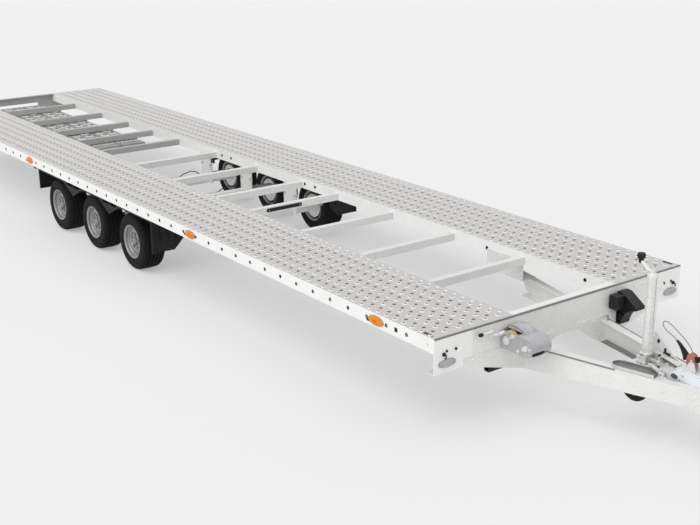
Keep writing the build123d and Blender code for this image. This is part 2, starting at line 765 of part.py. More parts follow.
def ramp_runner(x):
    """Cradle under the ramps, hung from the cross-member above it."""
    half = ramp_width + ramp_gap / 2 + ramp_clearance
    top = rail_bottom + rail_wall
    low = rail_bottom - ramp_clearance - ramp_height - seat_gap
    x0, x1 = x - runner_length / 2, x + runner_length / 2
    outside = block(x0, x1, -half - rail_wall, half + rail_wall, low - rail_wall, top)
    return outside - block(x0, x1, -half, half, low, top)


for word, side in sides.items():
    save(f"ramp_{word}", ramp(side))
save("ramp_runners", *[ramp_runner(x) for x in member_rows["cross_members_rear"][1:]])


# ---------------------------------------------------------------- wheels and axles
def tyre(x, side):
    half, tread = tyre_width / 2, tread_width / 2
    bead = half - bead_step
    lip = flange_radius + lip_gap
    left = [(bead_radius, bead), (lip, bead), (lip + shoulder_step, half - shoulder_step),
            (flange_radius + 8 * shoulder_step, half), (wheel_radius - 5 * shoulder_step, half),
            (wheel_radius - shoulder_step, tread), (wheel_radius, tread - 3 * shoulder_step)]
    return ring_y(left + [(r, -s) for r, s in reversed(left)], x, side * wheel_y, wheel_radius)


def rim(x, side):
    """Pressed steel wheel with its hub and drum: barrel, dished disc, bored hub."""
    half = tyre_width / 2 - bead_step
    bore = stub_radius + stub_clearance
    inner = bead_radius - rim_wall
    edge = half + rim_edge
    barrel = [(inner, -edge + rim_wall), (flange_radius, -edge), (flange_radius, -half),
              (bead_radius, -half), (bead_radius, half), (flange_radius, half),
              (flange_radius, edge), (inner, edge - rim_wall)]
    disc = [(bore, disc_offset), (inner, disc_offset + 2 * rim_wall), (inner, disc_offset + 3 * rim_wall),
            (hub_radius, disc_offset + 4 * rim_wall), (hub_radius, hub_face), (bore, hub_face)]
    rear = rim_wall - half
    drum = [(bore, rear), (drum_radius, rear), (drum_radius, rear + drum_width),
            (hub_radius, rear + drum_width), (hub_radius, disc_offset + rim_wall), (bore, disc_offset + rim_wall)]
    whole = ring_y(barrel, 0, 0, 0) + ring_y(disc, 0, 0, 0) + ring_y(drum, 0, 0, 0)
    return Pos(x, side * wheel_y, wheel_radius) * (whole if side > 0 else mirror(whole, Plane.XZ))


def axle(x):
    """Torsion axle: square tube, a trailing arm and stub at each end, two hangers up to the rails."""
    tube_x, z, half = x + axle_lead, wheel_radius + axle_rise, axle_tube / 2
    arm_y1 = tyre_inner_y - arm_gap
    arm_y0 = arm_y1 - arm_width
    body = block(tube_x - half, tube_x + half, -arm_y0, arm_y0, z - half, z + half)
    slope = math.degrees(math.atan2(axle_rise, axle_lead))
    reach = math.hypot(axle_rise, axle_lead)
    for side in sides.values():
        arm = Pos(tube_x, 0, z) * Rot(0, -slope, 0) * block(
            -reach - arm_thick / 2, half, arm_y0, arm_y1, -arm_thick / 2, arm_thick / 2)
        stub = rod_y(x, arm_y0, wheel_y + hub_face - stub_step, wheel_radius, stub_radius)
        hanger_y = inner_rail_y + rail_flange / 2
        hanger = block(tube_x - hanger_width / 2, tube_x + hanger_width / 2,
                       hanger_y - hanger_wall / 2, hanger_y + hanger_wall / 2, z - half, rail_bottom)
        for piece in (arm, stub, hanger):
            body += mirrored(piece, side)
    return body


for n, x in enumerate(axle_xs, 1):
    save(f"axle_{n}", axle(x))
    for word, side in sides.items():
        save(f"tyre_{n}_{word}", tyre(x, side))
        save(f"rim_{n}_{word}", rim(x, side))


# ---------------------------------------------------------------- mudguards
guard_y0, guard_y1 = tyre_inner_y - guard_overhang, tyre_outer_y + guard_overhang
guard_front_x, guard_rear_x = axle_xs[0] + guard_reach, axle_xs[-1] - guard_reach
valley_xs = [x - axle_spacing / 2 for x in axle_xs[:-1]]
valley_top = guard_top - guard_valley


def flap(x, low):
    """Upright end plate of a mudguard, wider than it, with its lower inner corner cut off."""
    inner = guard_y0 - flap_extra
    return bar_x([(inner, guard_top), (guard_y1, guard_top), (guard_y1, low), (inner + flap_corner, low),
                  (inner, low + flap_corner)], x, x + flap_wall)


def mudguards():
    """Plastic guard over the three wheels of one side: a folded roof with a valley between wheels."""
    line = [(guard_front_x, guard_top)]
    for x in axle_xs:
        line += [(x + guard_shoulder, guard_top), (x - guard_shoulder, guard_top)]
        if x != axle_xs[-1]:
            line += [(x - axle_spacing / 2, valley_top)]
    line += [(guard_rear_x, guard_top)]
    roof = bar_y(line + [(x, z + guard_wall) for x, z in reversed(line)], guard_y0, guard_y1)
    return roof + flap(guard_front_x - flap_wall, flap_front_low) + flap(guard_rear_x, flap_rear_low)


def guard_bracket(x, low):
    """Folded strap from the side rail's lower flange to the guard."""
    x0, x1 = x - guard_bracket_length / 2, x + guard_bracket_length / 2
    y0 = guard_y1 - guard_bracket_depth
    return block(x0, x1, y0, rail_y, rail_bottom - guard_bracket_depth, rail_bottom) + block(
        x0, x1, y0, y0 + 2 * guard_wall, low + seat_gap, rail_bottom)


for word, side in sides.items():
    save(f"mudguards_{word}", mirrored(mudguards(), side))
valley_slope = guard_valley / (axle_spacing / 2 - guard_shoulder)
bracket_places = [(x, valley_top + guard_wall + valley_slope * guard_bracket_length / 2) for x in valley_xs]
bracket_places += [(x, guard_top + guard_wall) for x in (guard_front_x - guard_bracket_length,
                                                         guard_rear_x + guard_bracket_length)]
save("guard_brackets", *[mirrored(guard_bracket(x, low), side)
                         for x, low in bracket_places for side in sides.values()])
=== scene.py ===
# A car transporter trailer in its finishes: two runways of perforated planks on a galvanised
# frame, three axles, a V drawbar with an overrun coupling, a jockey wheel, a strap winch and
# two ramps that slide out at the rear. Metres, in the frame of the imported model.
import bmesh
import bpy
import math
import random
from mathutils import Matrix, Vector


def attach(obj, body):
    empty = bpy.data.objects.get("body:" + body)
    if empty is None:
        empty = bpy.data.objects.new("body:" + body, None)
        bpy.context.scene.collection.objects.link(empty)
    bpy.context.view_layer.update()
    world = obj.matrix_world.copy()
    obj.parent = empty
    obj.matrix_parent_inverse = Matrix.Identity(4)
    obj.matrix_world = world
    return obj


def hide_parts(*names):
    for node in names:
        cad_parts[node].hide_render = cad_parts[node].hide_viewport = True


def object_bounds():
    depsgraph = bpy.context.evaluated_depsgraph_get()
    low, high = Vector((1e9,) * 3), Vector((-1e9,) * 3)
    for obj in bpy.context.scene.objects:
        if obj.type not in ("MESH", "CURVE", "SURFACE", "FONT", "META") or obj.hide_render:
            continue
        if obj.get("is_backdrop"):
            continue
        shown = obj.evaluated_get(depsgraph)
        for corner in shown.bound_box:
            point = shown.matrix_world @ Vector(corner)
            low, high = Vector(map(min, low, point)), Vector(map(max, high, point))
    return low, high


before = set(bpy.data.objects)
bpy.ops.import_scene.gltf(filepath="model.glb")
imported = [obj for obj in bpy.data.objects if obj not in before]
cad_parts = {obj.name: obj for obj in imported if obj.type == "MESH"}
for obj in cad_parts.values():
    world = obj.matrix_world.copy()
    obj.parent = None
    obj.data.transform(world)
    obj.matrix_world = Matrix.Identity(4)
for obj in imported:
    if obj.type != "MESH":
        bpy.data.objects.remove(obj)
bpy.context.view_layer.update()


# ---------------------------------------------------------------- side rails and inner rails
# Long channels folded from 3 mm sheet and dipped in molten zinc, which leaves a pale, almost
# matt skin with faint crystals. They are punched before dipping, and the outer pair carries a
# row of fixing holes along its whole length.
def start_skin(name, kinds):
    """A new finish and its textures, each given by kind, scale and detail, laid on the piece itself."""
    skin = bpy.data.materials.new(name)
    skin.use_nodes = True
    nodes, wires = skin.node_tree.nodes, skin.node_tree.links
    place = nodes.new("ShaderNodeTexCoord")
    textures = []
    for kind, scale, detail in kinds:
        texture = nodes.new("ShaderNodeTex" + kind)
        texture.inputs["Scale"].default_value = scale
        texture.inputs["Detail"].default_value = detail
        wires.new(place.outputs["Object"], texture.inputs["Vector"])
        textures.append(texture)
    return skin, nodes, wires, textures


def wire_skin(nodes, wires, sources, tones, stops, rough, haze, strength, depth):
    """Leads three sources to the shader's colour, gloss and bump."""
    shader = nodes["Principled BSDF"]
    ramp = nodes.new("ShaderNodeValToRGB")
    for stop, at, tone in zip(ramp.color_ramp.elements, stops, tones):
        stop.position = at
        stop.color = (*tone, 1)
    gloss = nodes.new("ShaderNodeMapRange")
    for socket, value in zip(("From Min", "From Max", "To Min", "To Max"), (*haze, *rough)):
        gloss.inputs[socket].default_value = value
    bump = nodes.new("ShaderNodeBump")
    bump.inputs["Strength"].default_value = strength
    bump.inputs["Distance"].default_value = depth
    inlets = (ramp.inputs["Fac"], gloss.inputs["Value"], bump.inputs["Height"])
    outlets = (ramp.outputs["Color"], gloss.outputs["Result"], bump.outputs["Normal"])
    for source, inlet, outlet, socket in zip(sources, inlets, outlets, ("Base Color", "Roughness", "Normal")):
        wires.new(source, inlet)
        wires.new(outlet, shader.inputs[socket])


def shade_steel(name, dark, light, metal, rough, crystal, pitting):
    """A metal skin: two tones in crystals and in clouds, the same clouds in its gloss, fine pits."""
    cloud_scale, pit_scale, cloud_share = 0.35 / crystal / 4, 900, 0.55
    skin, nodes, wires, (cells, clouds, pits) = start_skin(
        name, (("Voronoi", 1 / crystal, 0), ("Noise", cloud_scale, 6), ("Noise", pit_scale, 3)))
    nodes["Principled BSDF"].inputs["Metallic"].default_value = metal
    blend = nodes.new("ShaderNodeMix")
    blend.inputs[0].default_value = cloud_share
    wires.new(cells.outputs["Color"], blend.inputs[2])
    wires.new(clouds.outputs["Fac"], blend.inputs[3])
    wire_skin(nodes, wires, (blend.outputs[0], clouds.outputs["Fac"], pits.outputs["Fac"]), (dark, light),
              (0.2, 0.75), rough, (0.3, 0.7), 0.4, pitting)
    return skin


def dress(skin, *names):
    """Gives CAD nodes a finish."""
    for name in names:
        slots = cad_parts[name].data.materials
        for place in range(len(slots)):
            slots[place] = skin


rail_zinc = shade_steel("rail_zinc", (0.82, 0.82, 0.81), (0.90, 0.90, 0.89), 0.12, (0.40, 0.55),
                        0.009, 0.0002)
dress(rail_zinc, "side_rail_left", "side_rail_right", "inner_rail_left", "inner_rail_right")


# ---------------------------------------------------------------- rail fittings
# Black rubber grommets are pressed into the row of holes in each side rail, and black moulded
# bungs close the punched holes in the inner rails' webs. The slot in each rail's top and a square
# hole in its face are filled with black, as painted shade in those holes.
def stand(name, data):
    """A new object in the scene."""
    thing = bpy.data.objects.new(name, data)
    bpy.context.scene.collection.objects.link(thing)
    return thing


def circle(count):
    """Cosine and sine of equal steps round a circle."""
    return [(math.cos(2 * math.pi * n / count), math.sin(2 * math.pi * n / count)) for n in range(count)]


def axes_across(along):
    """Two directions square to one."""
    across = along.orthogonal().normalized()
    return across, along.cross(across)


def set_along(way, a, b, c):
    """The point at c along x, y or z, and at a and b across it."""
    return {"x": (c, a, b), "y": (a, c, b), "z": (a, b, c)}[way]


class Work:
    """A piece on the bench: corners and faces are added to it until it is finished."""

    def __init__(self):
        self.points, self.faces, self.tints, self.tint, self.known = [], [], [], 0, {}

    def add(self, points, faces):
        first = len(self.points)
        self.points += [tuple(p) for p in points]
        self.faces += [[first + n for n in face] for face in faces]
        self.tints += [self.tint] * len(faces)

    def corner(self, x, y, z):
        """The number of the point there, shared by the faces that meet in it."""
        key = (round(x, 5), round(y, 5), round(z, 5))
        if key not in self.known:
            self.known[key] = len(self.points)
            self.points.append((x, y, z))
        return self.known[key]

    def face(self, corners):
        """A face over numbered points."""
        self.faces.append(corners)
        self.tints.append(self.tint)

    def join(self, outer, inner):
        """Faces between two rings of numbered points."""
        for n in range(len(outer)):
            self.face((outer[n - 1], outer[n], inner[n], inner[n - 1]))

    def block(self, x0, x1, y0, y1, z0, z1):
        """A bar with square corners."""
        self.add([(x, y, z) for x in (x0, x1) for y in (y0, y1) for z in (z0, z1)],
                 [(0, 1, 3, 2), (4, 6, 7, 5), (0, 4, 5, 1), (2, 3, 7, 6), (0, 2, 6, 4), (1, 5, 7, 3)])

    def plate(self, outline, way, start, end):
        """A flat outline run through its thickness, along x, y or z."""
        self.loft([[set_along(way, a, b, c) for a, b in outline] for c in (start, end)])

    def loft(self, rings, closed=False, capped=True):
        """A skin over rings of equal count: capped at both ends, left open, or closed onto its first."""
        count, last = len(rings[0]), len(rings) - 1
        links = [(n, n + 1) for n in range(last)] + ([(last, 0)] if closed else [])
        faces = [(a * count + k, a * count + (k + 1) % count, b * count + (k + 1) % count, b * count + k)
                 for a, b in links for k in range(count)]
        if capped and not closed:
            start = last * count
            faces += [tuple(range(count)), tuple(range(start + count - 1, start - 1, -1))]
        self.add([point for ring in rings for point in ring], faces)

    def rod(self, start, end, radius, sides=16, tip=None):
        """A round bar between two points, or a hexagon with six sides; tip is the radius at its end."""
        start, end = Vector(start), Vector(end)
        across, other = axes_across((end - start).normalized())
        self.loft([[centre + size * (c * across + s * other) for c, s in circle(sides)]
                   for centre, size in ((start, radius), (end, radius if tip is None else tip))])

    def pin(self, way, place, start, end, radius, sides=16, tip=None):
        """A rod along x, y or z; place is where it stands across that way."""
        self.rod(set_along(way, *place, start), set_along(way, *place, end), radius, sides, tip)

    def turned(self, profile, centre, axis, sides=32, change=None):
        """A closed profile of (radius, place along the axis) turned round it."""
        axis = Vector(axis).normalized()
        across, other = axes_across(axis)
        self.loft([[Vector(centre) + axis * along
                    + (change(n, k, radius) if change else radius) * (c * across + s * other)
                    for k, (radius, along) in enumerate(profile)]
                   for n, (c, s) in enumerate(circle(sides))], closed=True)

    def tube(self, path, radius, sides=10):
        """A bent rod that follows points; radius is one size or a list with one for each point."""
        path, rings, across = [Vector(p) for p in path], [], None
        sizes = radius if isinstance(radius, list) else [radius] * len(path)
        for n, (here, size) in enumerate(zip(path, sizes)):
            along = (path[min(n + 1, len(path) - 1)] - path[max(n - 1, 0)]).normalized()
            across = along.orthogonal() if across is None else across - along * across.dot(along)
            across = across.normalized()
            other = along.cross(across)
            rings.append([here + size * (c * across + s * other) for c, s in circle(sides)])
        self.loft(rings)

    def bolt(self, seat, way, size=0.0095, height=0.006, washer=True):
        """A hexagon head on its washer; way points out of the joint."""
        seat, way = Vector(seat), Vector(way).normalized()
        if washer:
            self.rod(seat, seat + way * 0.0016, size * 1.45, 20)
        self.rod(seat, seat + way * (height + 0.0016), size, 6)

    def finish(self, name, skins, body="frame", slot=None, crisp=35, edge=0.0, rounds=2):
        """The finished piece: closed, given its finishes, its edges eased, riding on its body."""
        mesh = bpy.data.meshes.new(name)
        mesh.from_pydata(self.points, [], self.faces)
        for skin in skins if isinstance(skins, list) else [skins]:
            mesh.materials.append(skin)
        mesh.polygons.foreach_set("material_index", self.tints)
        form = bmesh.new()
        form.from_mesh(mesh)
        bmesh.ops.remove_doubles(form, verts=form.verts, dist=0.00002)
        bmesh.ops.dissolve_degenerate(form, edges=form.edges, dist=0.00001)
        bmesh.ops.recalc_face_normals(form, faces=form.faces)
        form.to_mesh(mesh)
        form.free()
        piece = stand(name, mesh)
        mesh.polygons.foreach_set("use_smooth", [True] * len(mesh.polygons))
        mesh.set_sharp_from_angle(angle=math.radians(crisp))
        if edge:
            ease = piece.modifiers.new("eased_edges", "BEVEL")
            ease.width = edge
            ease.segments = rounds
            ease.limit_method = "ANGLE"
            ease.angle_limit = math.radians(40)
            ease.harden_normals = True
        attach(piece, body)
        return piece


def shade_plastic(name, dark, light, rough, grain, depth, ribs=0.0, shine=0.5):
    """Moulded plastic, rubber or lens: cloudy colour and gloss, a fine grain, ribs if it has them."""
    skin, nodes, wires, (clouds, texture) = start_skin(
        name, (("Noise", 14, 5), ("Wave" if ribs else "Noise", ribs or 1 / grain, 2)))
    nodes["Principled BSDF"].inputs["Specular IOR Level"].default_value = shine
    cloud = clouds.outputs["Fac"]
    wire_skin(nodes, wires, (cloud, cloud, texture.outputs["Fac"]), (dark, light),
              (0.35, 0.65), rough, (0.35, 0.65), 0.5, depth)
    return skin


black_rubber = shade_plastic("black_rubber", (0.011, 0.011, 0.011), (0.022, 0.022, 0.022), (0.55, 0.75),
                             0.002, 0.0003, shine=0.16)
black_moulding = shade_plastic("black_moulding", (0.010, 0.010, 0.0105), (0.018, 0.018, 0.0185), (0.42, 0.6),
                               0.0012, 0.0001, shine=0.2)
first_hole_x, hole_pitch, hole_z, hole_count = 3.404, 0.182, 0.572, 47
covered_holes = (0, 31)                 # a lamp and an end cap hide these
rail_face_y, web_face_y = 1.050, 0.440
grommet = [(0.0062, -0.0035), (0.0062, 0.0008), (0.0078, 0.0020), (0.0112, 0.0016), (0.0122, 0.0),
           (0.0079, -0.0035)]
web_bungs = ((3.196, 0.573), (2.296, 0.563), (0.227, 0.575), (0.080, 0.572), (-1.111, 0.576), (-1.272, 0.572))
right_and_left = (("right", -1), ("left", 1))
for side, way in right_and_left:
    work = Work()
    for hole in range(hole_count):
        if hole not in covered_holes:
            centre = (first_hole_x - hole_pitch * hole, way * rail_face_y, hole_z)
            work.turned(grommet, centre, (0, way, 0), 14)
    work.finish(f"rail_grommets_{side}", black_rubber, slot="rubber")
    work = Work()
    # Black fills in the top slot and in the square hole of the face: painted shade in the holes.
    for x in (3.346, 3.406):
        work.pin("z", (x, way * 1.022), 0.6145, 0.6192, 0.0085, 14)
    work.block(3.346, 3.406, way * 1.0135, way * 1.0305, 0.6145, 0.6190)
    work.block(3.116, 3.142, way * rail_face_y - 0.001, way * (rail_face_y + 0.0012), 0.559, 0.585)
    for x, z in web_bungs:
        work.pin("y", (x, z), way * (web_face_y + 0.001), way * (web_face_y - 0.0035), 0.0135, tip=0.0115)
    work.finish(f"rail_bungs_and_hole_shade_{side}", black_moulding, slot="black_plastic")


# ---------------------------------------------------------------- cross-members and end beams
# Rectangular tubes welded between the rails under the planks, and folded channels across both
# ends. All of it is hot-dip galvanised, a little darker and duller than the rails. The rear
# members, the rear beam and the ramps' runners are painted much darker still, as painted shade
# low in the rear of the frame. The welds are short beads, dipped with the rest.
frame_zinc = shade_steel("frame_zinc", (0.66, 0.66, 0.65), (0.76, 0.76, 0.75), 0.15, (0.44, 0.6),
                         0.011, 0.0003)
beam_zinc = shade_steel("beam_zinc", (0.73, 0.73, 0.715), (0.82, 0.82, 0.805), 0.15, (0.42, 0.55),
                        0.011, 0.0002)
# Much darker zinc for the rear members, rear beam and ramp runners: painted shade.
rear_shade_zinc = shade_steel("rear_shade_zinc", (0.37, 0.37, 0.365), (0.46, 0.46, 0.455), 0.15, (0.46, 0.62),
                        0.012, 0.0003)
dress(frame_zinc, "cross_members_front", "cross_members_middle")
dress(rear_shade_zinc, "cross_members_rear", "rear_beam", "ramp_runners")
dress(beam_zinc, "front_beam")
member_places = (2.636, 1.933, 1.232, 0.528, 0.023, -0.686, -1.398, -2.107, -2.659, -3.207, -3.847, -4.547)
member_half = 0.0255
bead_count, bead_pitch, bead_wander = 15, 0.0035, 0.0006
work = Work()
for x in member_places:
    for way in (-1, 1):
        for edge in (-member_half, member_half):
            seam = [(x + edge + random.Random(x + n).uniform(-bead_wander, bead_wander), way * 0.4392,
                     0.5335 + bead_pitch * n) for n in range(bead_count)]
            work.tube(seam, [0.0024 + 0.0009 * (n % 2) for n in range(bead_count)], 6)
work.finish("member_welds", frame_zinc, slot="galvanised", crisp=60)

# The fourth member carries a black cover strip over the joint in the brake cable.
work = Work()
work.block(0.5530, 0.5560, -0.236, 0.067, 0.548, 0.576)
for y in (-0.236, 0.067):
    work.pin("x", (y, 0.562), 0.5530, 0.5560, 0.014, 20)
work.tint = 1
for y in (-0.228, 0.059):
    work.bolt((0.5560, y, 0.562), (1, 0, 0), 0.0045, 0.002, washer=False)
bolt_zinc = shade_steel("bolt_zinc", (0.55, 0.55, 0.54), (0.74, 0.74, 0.72), 0.7, (0.22, 0.38), 0.004, 0.0001)
work.finish("cable_cover", [black_moulding, bolt_zinc], slot="black_plastic")


# ---------------------------------------------------------------- front corner plates
# A folded plate stiffens each end of the front beam. It is riveted on, and on it sit a white
# reflector held by a black screw, and the gland through which the lamp's lead comes out.
def eased_square(wide, deep):
    """A square with its corners cut off, as shares of its half sizes."""
    return [(-1, -deep), (-wide, -1), (wide, -1), (1, -deep), (1, deep), (wide, 1), (-wide, 1), (-1, deep)]


reflector_white = shade_plastic("reflector_white", (0.80, 0.80, 0.80), (0.90, 0.90, 0.90), (0.10, 0.2),
                                0.002, 0.0002, 90)
plate_back, plate_face = 3.4571, 3.4598
corner_outline = ((1.0495, 0.4025), (1.0495, 0.6155), (0.764, 0.6155), (0.764, 0.4475), (0.8295, 0.4475),
                  (0.8295, 0.4025))
for side, way in right_and_left:
    work = Work()
    work.plate([(way * y, z) for y, z in corner_outline], "x", plate_back, plate_face)
    work.tint = 1
    for y, z in ((0.778, 0.600), (0.778, 0.500), (1.036, 0.600), (1.036, 0.520), (0.905, 0.604)):
        work.pin("x", (way * y, z), plate_face, 3.4614, 0.0052, 14, 0.0036)
    work.tint = 2
    work.plate([(way * (0.858 + a * 0.027), 0.516 + b * 0.0165) for a, b in eased_square(0.92, 0.8)],
               "x", plate_face, 3.4640)
    work.tint = 3
    work.pin("x", (way * 0.892, 0.528), plate_face, 3.4655, 0.0092, 18, 0.0078)
    work.pin("x", (way * 0.980, 0.514), plate_face, 3.4660, 0.0125, 6)
    work.pin("x", (way * 0.980, 0.514), 3.4660, 3.4760, 0.0085, tip=0.0060)
    work.tube([(3.4740, way * 0.980, 0.514), (3.4800, way * 0.980, 0.513), (3.4830, way * 0.981, 0.507),
               (3.4800, way * 0.983, 0.500), (3.4760, way * 0.985, 0.494)], 0.0038)
    work.block(plate_face, 3.4650, way * 0.954, way * 0.966, 0.524, 0.536)
    work.finish(f"corner_plate_{side}", [rail_zinc, beam_zinc, reflector_white, black_moulding],
                slot="galvanised", edge=0.0004, rounds=1)
work = Work()
for y in (0.605, 0.686):
    work.bolt((3.457, y, 0.572), (1, 0, 0), 0.0085, 0.0055)
for way in (-1, 1):
    for y in (0.76, 0.62, 0.43, 0.24, 0.15):
        work.pin("x", (way * y, 0.427), 3.463, 3.4655, 0.0095, 20, 0.0078)
        work.pin("x", (way * y, 0.427), 3.4655, 3.4675, 0.0060, 6)
work.finish("front_beam_bolts", beam_zinc, slot="zinc")

# A strip of steel is folded over the front ends of the planks and the top of the beam. Its dark
# colour is painted shade along the deck's front edge.
lip_painted_shade = shade_steel("lip_painted_shade", (0.16, 0.158, 0.155), (0.23, 0.228, 0.225), 0.3, (0.36, 0.5),
                       0.010, 0.0002)
work = Work()
for y0, y1, back, under in ((-1.0485, -0.4400, 3.4500, 0.6170), (-0.4400, 0.4400, 3.4480, 0.6162),
                            (0.4400, 1.0485, 3.4500, 0.6170)):
    work.plate([(back, under), (back, 0.6184), (3.4575, 0.6184), (3.4598, 0.6174), (3.4605, 0.6150),
                (3.4605, 0.6100), (3.4600, 0.6090), (plate_back, 0.6090), (plate_back, under)], "y", y0, y1)
work.finish("front_lip", lip_painted_shade, slot="galvanised", crisp=50)

# An eye for the cable runs through the left gusset, above the leg.
work = Work()
eye = [(3.463, 0.352, 0.431), (3.478, 0.350, 0.431)]
eye += [(3.486 - 0.010 * c, 0.336 + 0.014 * c, 0.431 + 0.010 * s) for c, s in circle(16)[:15]]
work.tube(eye, 0.0042)
eye_zinc = shade_steel("eye_zinc", (0.26, 0.25, 0.24), (0.40, 0.39, 0.37), 0.6, (0.35, 0.5), 0.004, 0.0002)
work.finish("cable_eye", eye_zinc, slot="zinc")


# ---------------------------------------------------------------- axles
# Three square torsion tubes under the rails, each hung from two plates by four bolts. A
# trailing arm on each end carries the stub, and brake cables run in behind the tubes.
dress(frame_zinc, "axle_1", "axle_2", "axle_3")
axle_places = (-0.330, -1.042, -1.754)
tube_lead = 0.150                       # torsion tube ahead of its wheels
cable_line = ((0.051, 0.04, 0.330), (0.052, 0.12, 0.328), (0.074, 0.20, 0.322), (0.094, 0.26, 0.340),
              (0.106, 0.34, 0.353), (0.108, 0.40, 0.338), (0.108, 0.45, 0.305), (0.104, 0.51, 0.272),
              (0.098, 0.57, 0.258))
bolts, cables = Work(), Work()
for tube_x in (x + tube_lead for x in axle_places):
    for way in (-1, 1):
        for at in (-0.072, 0.072):
            for z in (0.500, 0.430):
                bolts.bolt((tube_x + at, way * 0.4585, z), (0, -way, 0), 0.0110, 0.007)
                bolts.pin("y", (tube_x + at, z), way * 0.4665, way * 0.4785, 0.0110, 6)
        cables.tube([(tube_x - back, way * y, z) for back, y, z in cable_line], 0.0045)
    cables.pin("y", (tube_x - 0.051, 0.330), -0.05, 0.05, 0.0075, 12)
bolts.finish("hanger_bolts", bolt_zinc, slot="zinc")
cables.finish("brake_cables", black_moulding, slot="black_plastic", crisp=60)

# A black bracket on the inner rail holds each brake cable ahead of the last axle.
work = Work()
for way in (-1, 1):
    for front, inner, low, high in ((-1.469, 0.434, 0.468, 0.545), (-1.412, 0.434, 0.468, 0.482)):
        work.block(-1.475, front, way * web_face_y, way * inner, low, high)
    work.block(-1.440, -1.412, way * web_face_y, way * 0.4280, 0.482, 0.520)
work.finish("cable_brackets", black_moulding, slot="black_plastic", edge=0.0008, rounds=1)


# ---------------------------------------------------------------- runway planks
# Three perforated steel planks side by side make each runway. Each is pressed from 2.5 mm
# galvanised sheet: rows of raised collars, which grip the tyres, alternate with rows of sunk
# drain holes, and the long edges are folded down so that it stays flat under a car.
plank_width, plank_spacing, plank_fold = 0.2031, 0.2033, 0.028
plank_sheet, fold_radius, end_margin = 0.0025, 0.0012, 0.02
plank_pitches = (0.0775, 0.0503)        # along a row, and between rows; every second row is half a pitch on
collar_rings = [(0.0170, 0.0), (0.0115, 0.0046), (0.0078, 0.0050)]      # radius, height
drain_rings = [(0.0128, 0.0), (0.0108, -0.0014), (0.0098, -0.0110), (0.0108, -0.0110)]


def plank(name, y_from, width, rows, rear, front, top, fold, shapes, pitches, skins, body, slot):
    """One plank with its collars and holes, as one closed sheet of cells."""
    work = Work()
    corner, face = work.corner, work.face
    low, y_to = top - plank_sheet, y_from + width
    pitch, row_pitch = pitches
    first = (y_from + y_to) / 2 - row_pitch * (rows - 1) / 2
    steps = int((front - rear - end_margin) * 4 / pitch)        # four to a pitch
    x_first = (rear + front) / 2 - steps * pitch / 8

    def along(step):
        return x_first + step * pitch / 4

    def cell_rim(s0, s1, y0, y, y1, ahead=True, behind=True):
        """The points round a cell, shared with its neighbours."""
        return ([(along(s), y0) for s in range(s0, s1 + 1)] + [(along(s1), y)] * ahead
                + [(along(s), y1) for s in range(s1, s0 - 1, -1)] + [(along(s0), y)] * behind)

    ends = {0: [], steps: []}
    for row in range(rows):
        y = first + row_pitch * row
        y0, y1 = y - row_pitch / 2, y + row_pitch / 2
        start = 2 * (row % 2)
        cells = [(s, s + 4) for s in range(start, steps - 3, 4)]
        shape = shapes[row % len(shapes)]
        # Tint 1: lighter collars, tyre polish and painted highlight; tint 2: painted shade inside the holes.
        tints = {1: 1, 2: 1, 3: 2} if shape[1][1] > 0 else {1: 2, 2: 2}
        for s0, s1 in cells:
            rim = cell_rim(s0, s1, y0, y, y1)
            x = (along(s0) + along(s1)) / 2
            angles = [math.atan2(py - y, px - x) for px, py in rim]
            rings = [[corner(px, py, top) for px, py in rim]]
            for r, z in [(r, top + rise) for r, rise in shape] + [(shape[-1][0], low)]:
                rings.append([corner(x + r * math.cos(a), y + r * math.sin(a), z) for a in angles])
            rings.append([corner(px, py, low) for px, py in rim])
            for depth, (outer, inner) in enumerate(zip(rings, rings[1:])):
                work.tint = tints.get(depth, 0)
                work.join(outer, inner)
        work.tint = 0
        for end, s0, s1 in ((0, 0, start), (steps, cells[-1][1], steps)):
            ends[end] += [y0] + [y] * (s0 == s1)
            if s0 < s1:
                rim = cell_rim(s0, s1, y0, y, y1, end == 0, end > 0)
                for z in (top, low):
                    face([corner(px, py, z) for px, py in rim])
    for edge, line, out in ((y_from, first - row_pitch / 2, -1), (y_to, y1, 1)):
        inside = edge - out * plank_sheet
        section = [(edge - out * fold_radius, top), (edge - out * fold_radius / 3, top - fold_radius / 3),
                   (edge, top - fold_radius), (edge, top - fold), (inside, top - fold),
                   (inside, low - fold_radius), (edge - out * 1.2 * fold_radius, low)]
        for (ya, za), (yb, zb) in zip(section, section[1:]):
            face([corner(rear, ya, za), corner(rear, yb, zb), corner(front, yb, zb), corner(front, ya, za)])
        for near, z in (section[0], section[-1]):
            face([corner(along(s), line, z) for s in range(steps + 1)]
                 + [corner(front, near, z), corner(rear, near, z)])
        for x in (rear, front):
            face([corner(x, y, z) for y, z in section])
    edges = [(fold_radius, top), (1.2 * fold_radius, low)]
    for end, x in ((0, rear), (steps, front)):
        for inset, z in edges:
            face([corner(x, y_from + inset, z), corner(x, y_to - inset, z)]
                 + [corner(along(end), y, z) for y in [y1] + ends[end][::-1]])
        face([corner(x, y_from + inset, z) for inset, z in edges]
             + [corner(x, y_to - inset, z) for inset, z in edges[::-1]])
    return work.finish(name, skins, body, slot, 26)


plank_zinc = shade_steel("plank_zinc", (0.505, 0.492, 0.480), (0.585, 0.572, 0.560), 0.25, (0.38, 0.5),
                         0.008, 0.0002)
# Lighter collars, partly polish from tyres and partly painted highlight.
plank_collar_polish_and_highlight = shade_steel("plank_collar_polish_and_highlight", (0.70, 0.695, 0.69), (0.78, 0.775, 0.77), 0.15, (0.3, 0.42),
                          0.008, 0.0001)
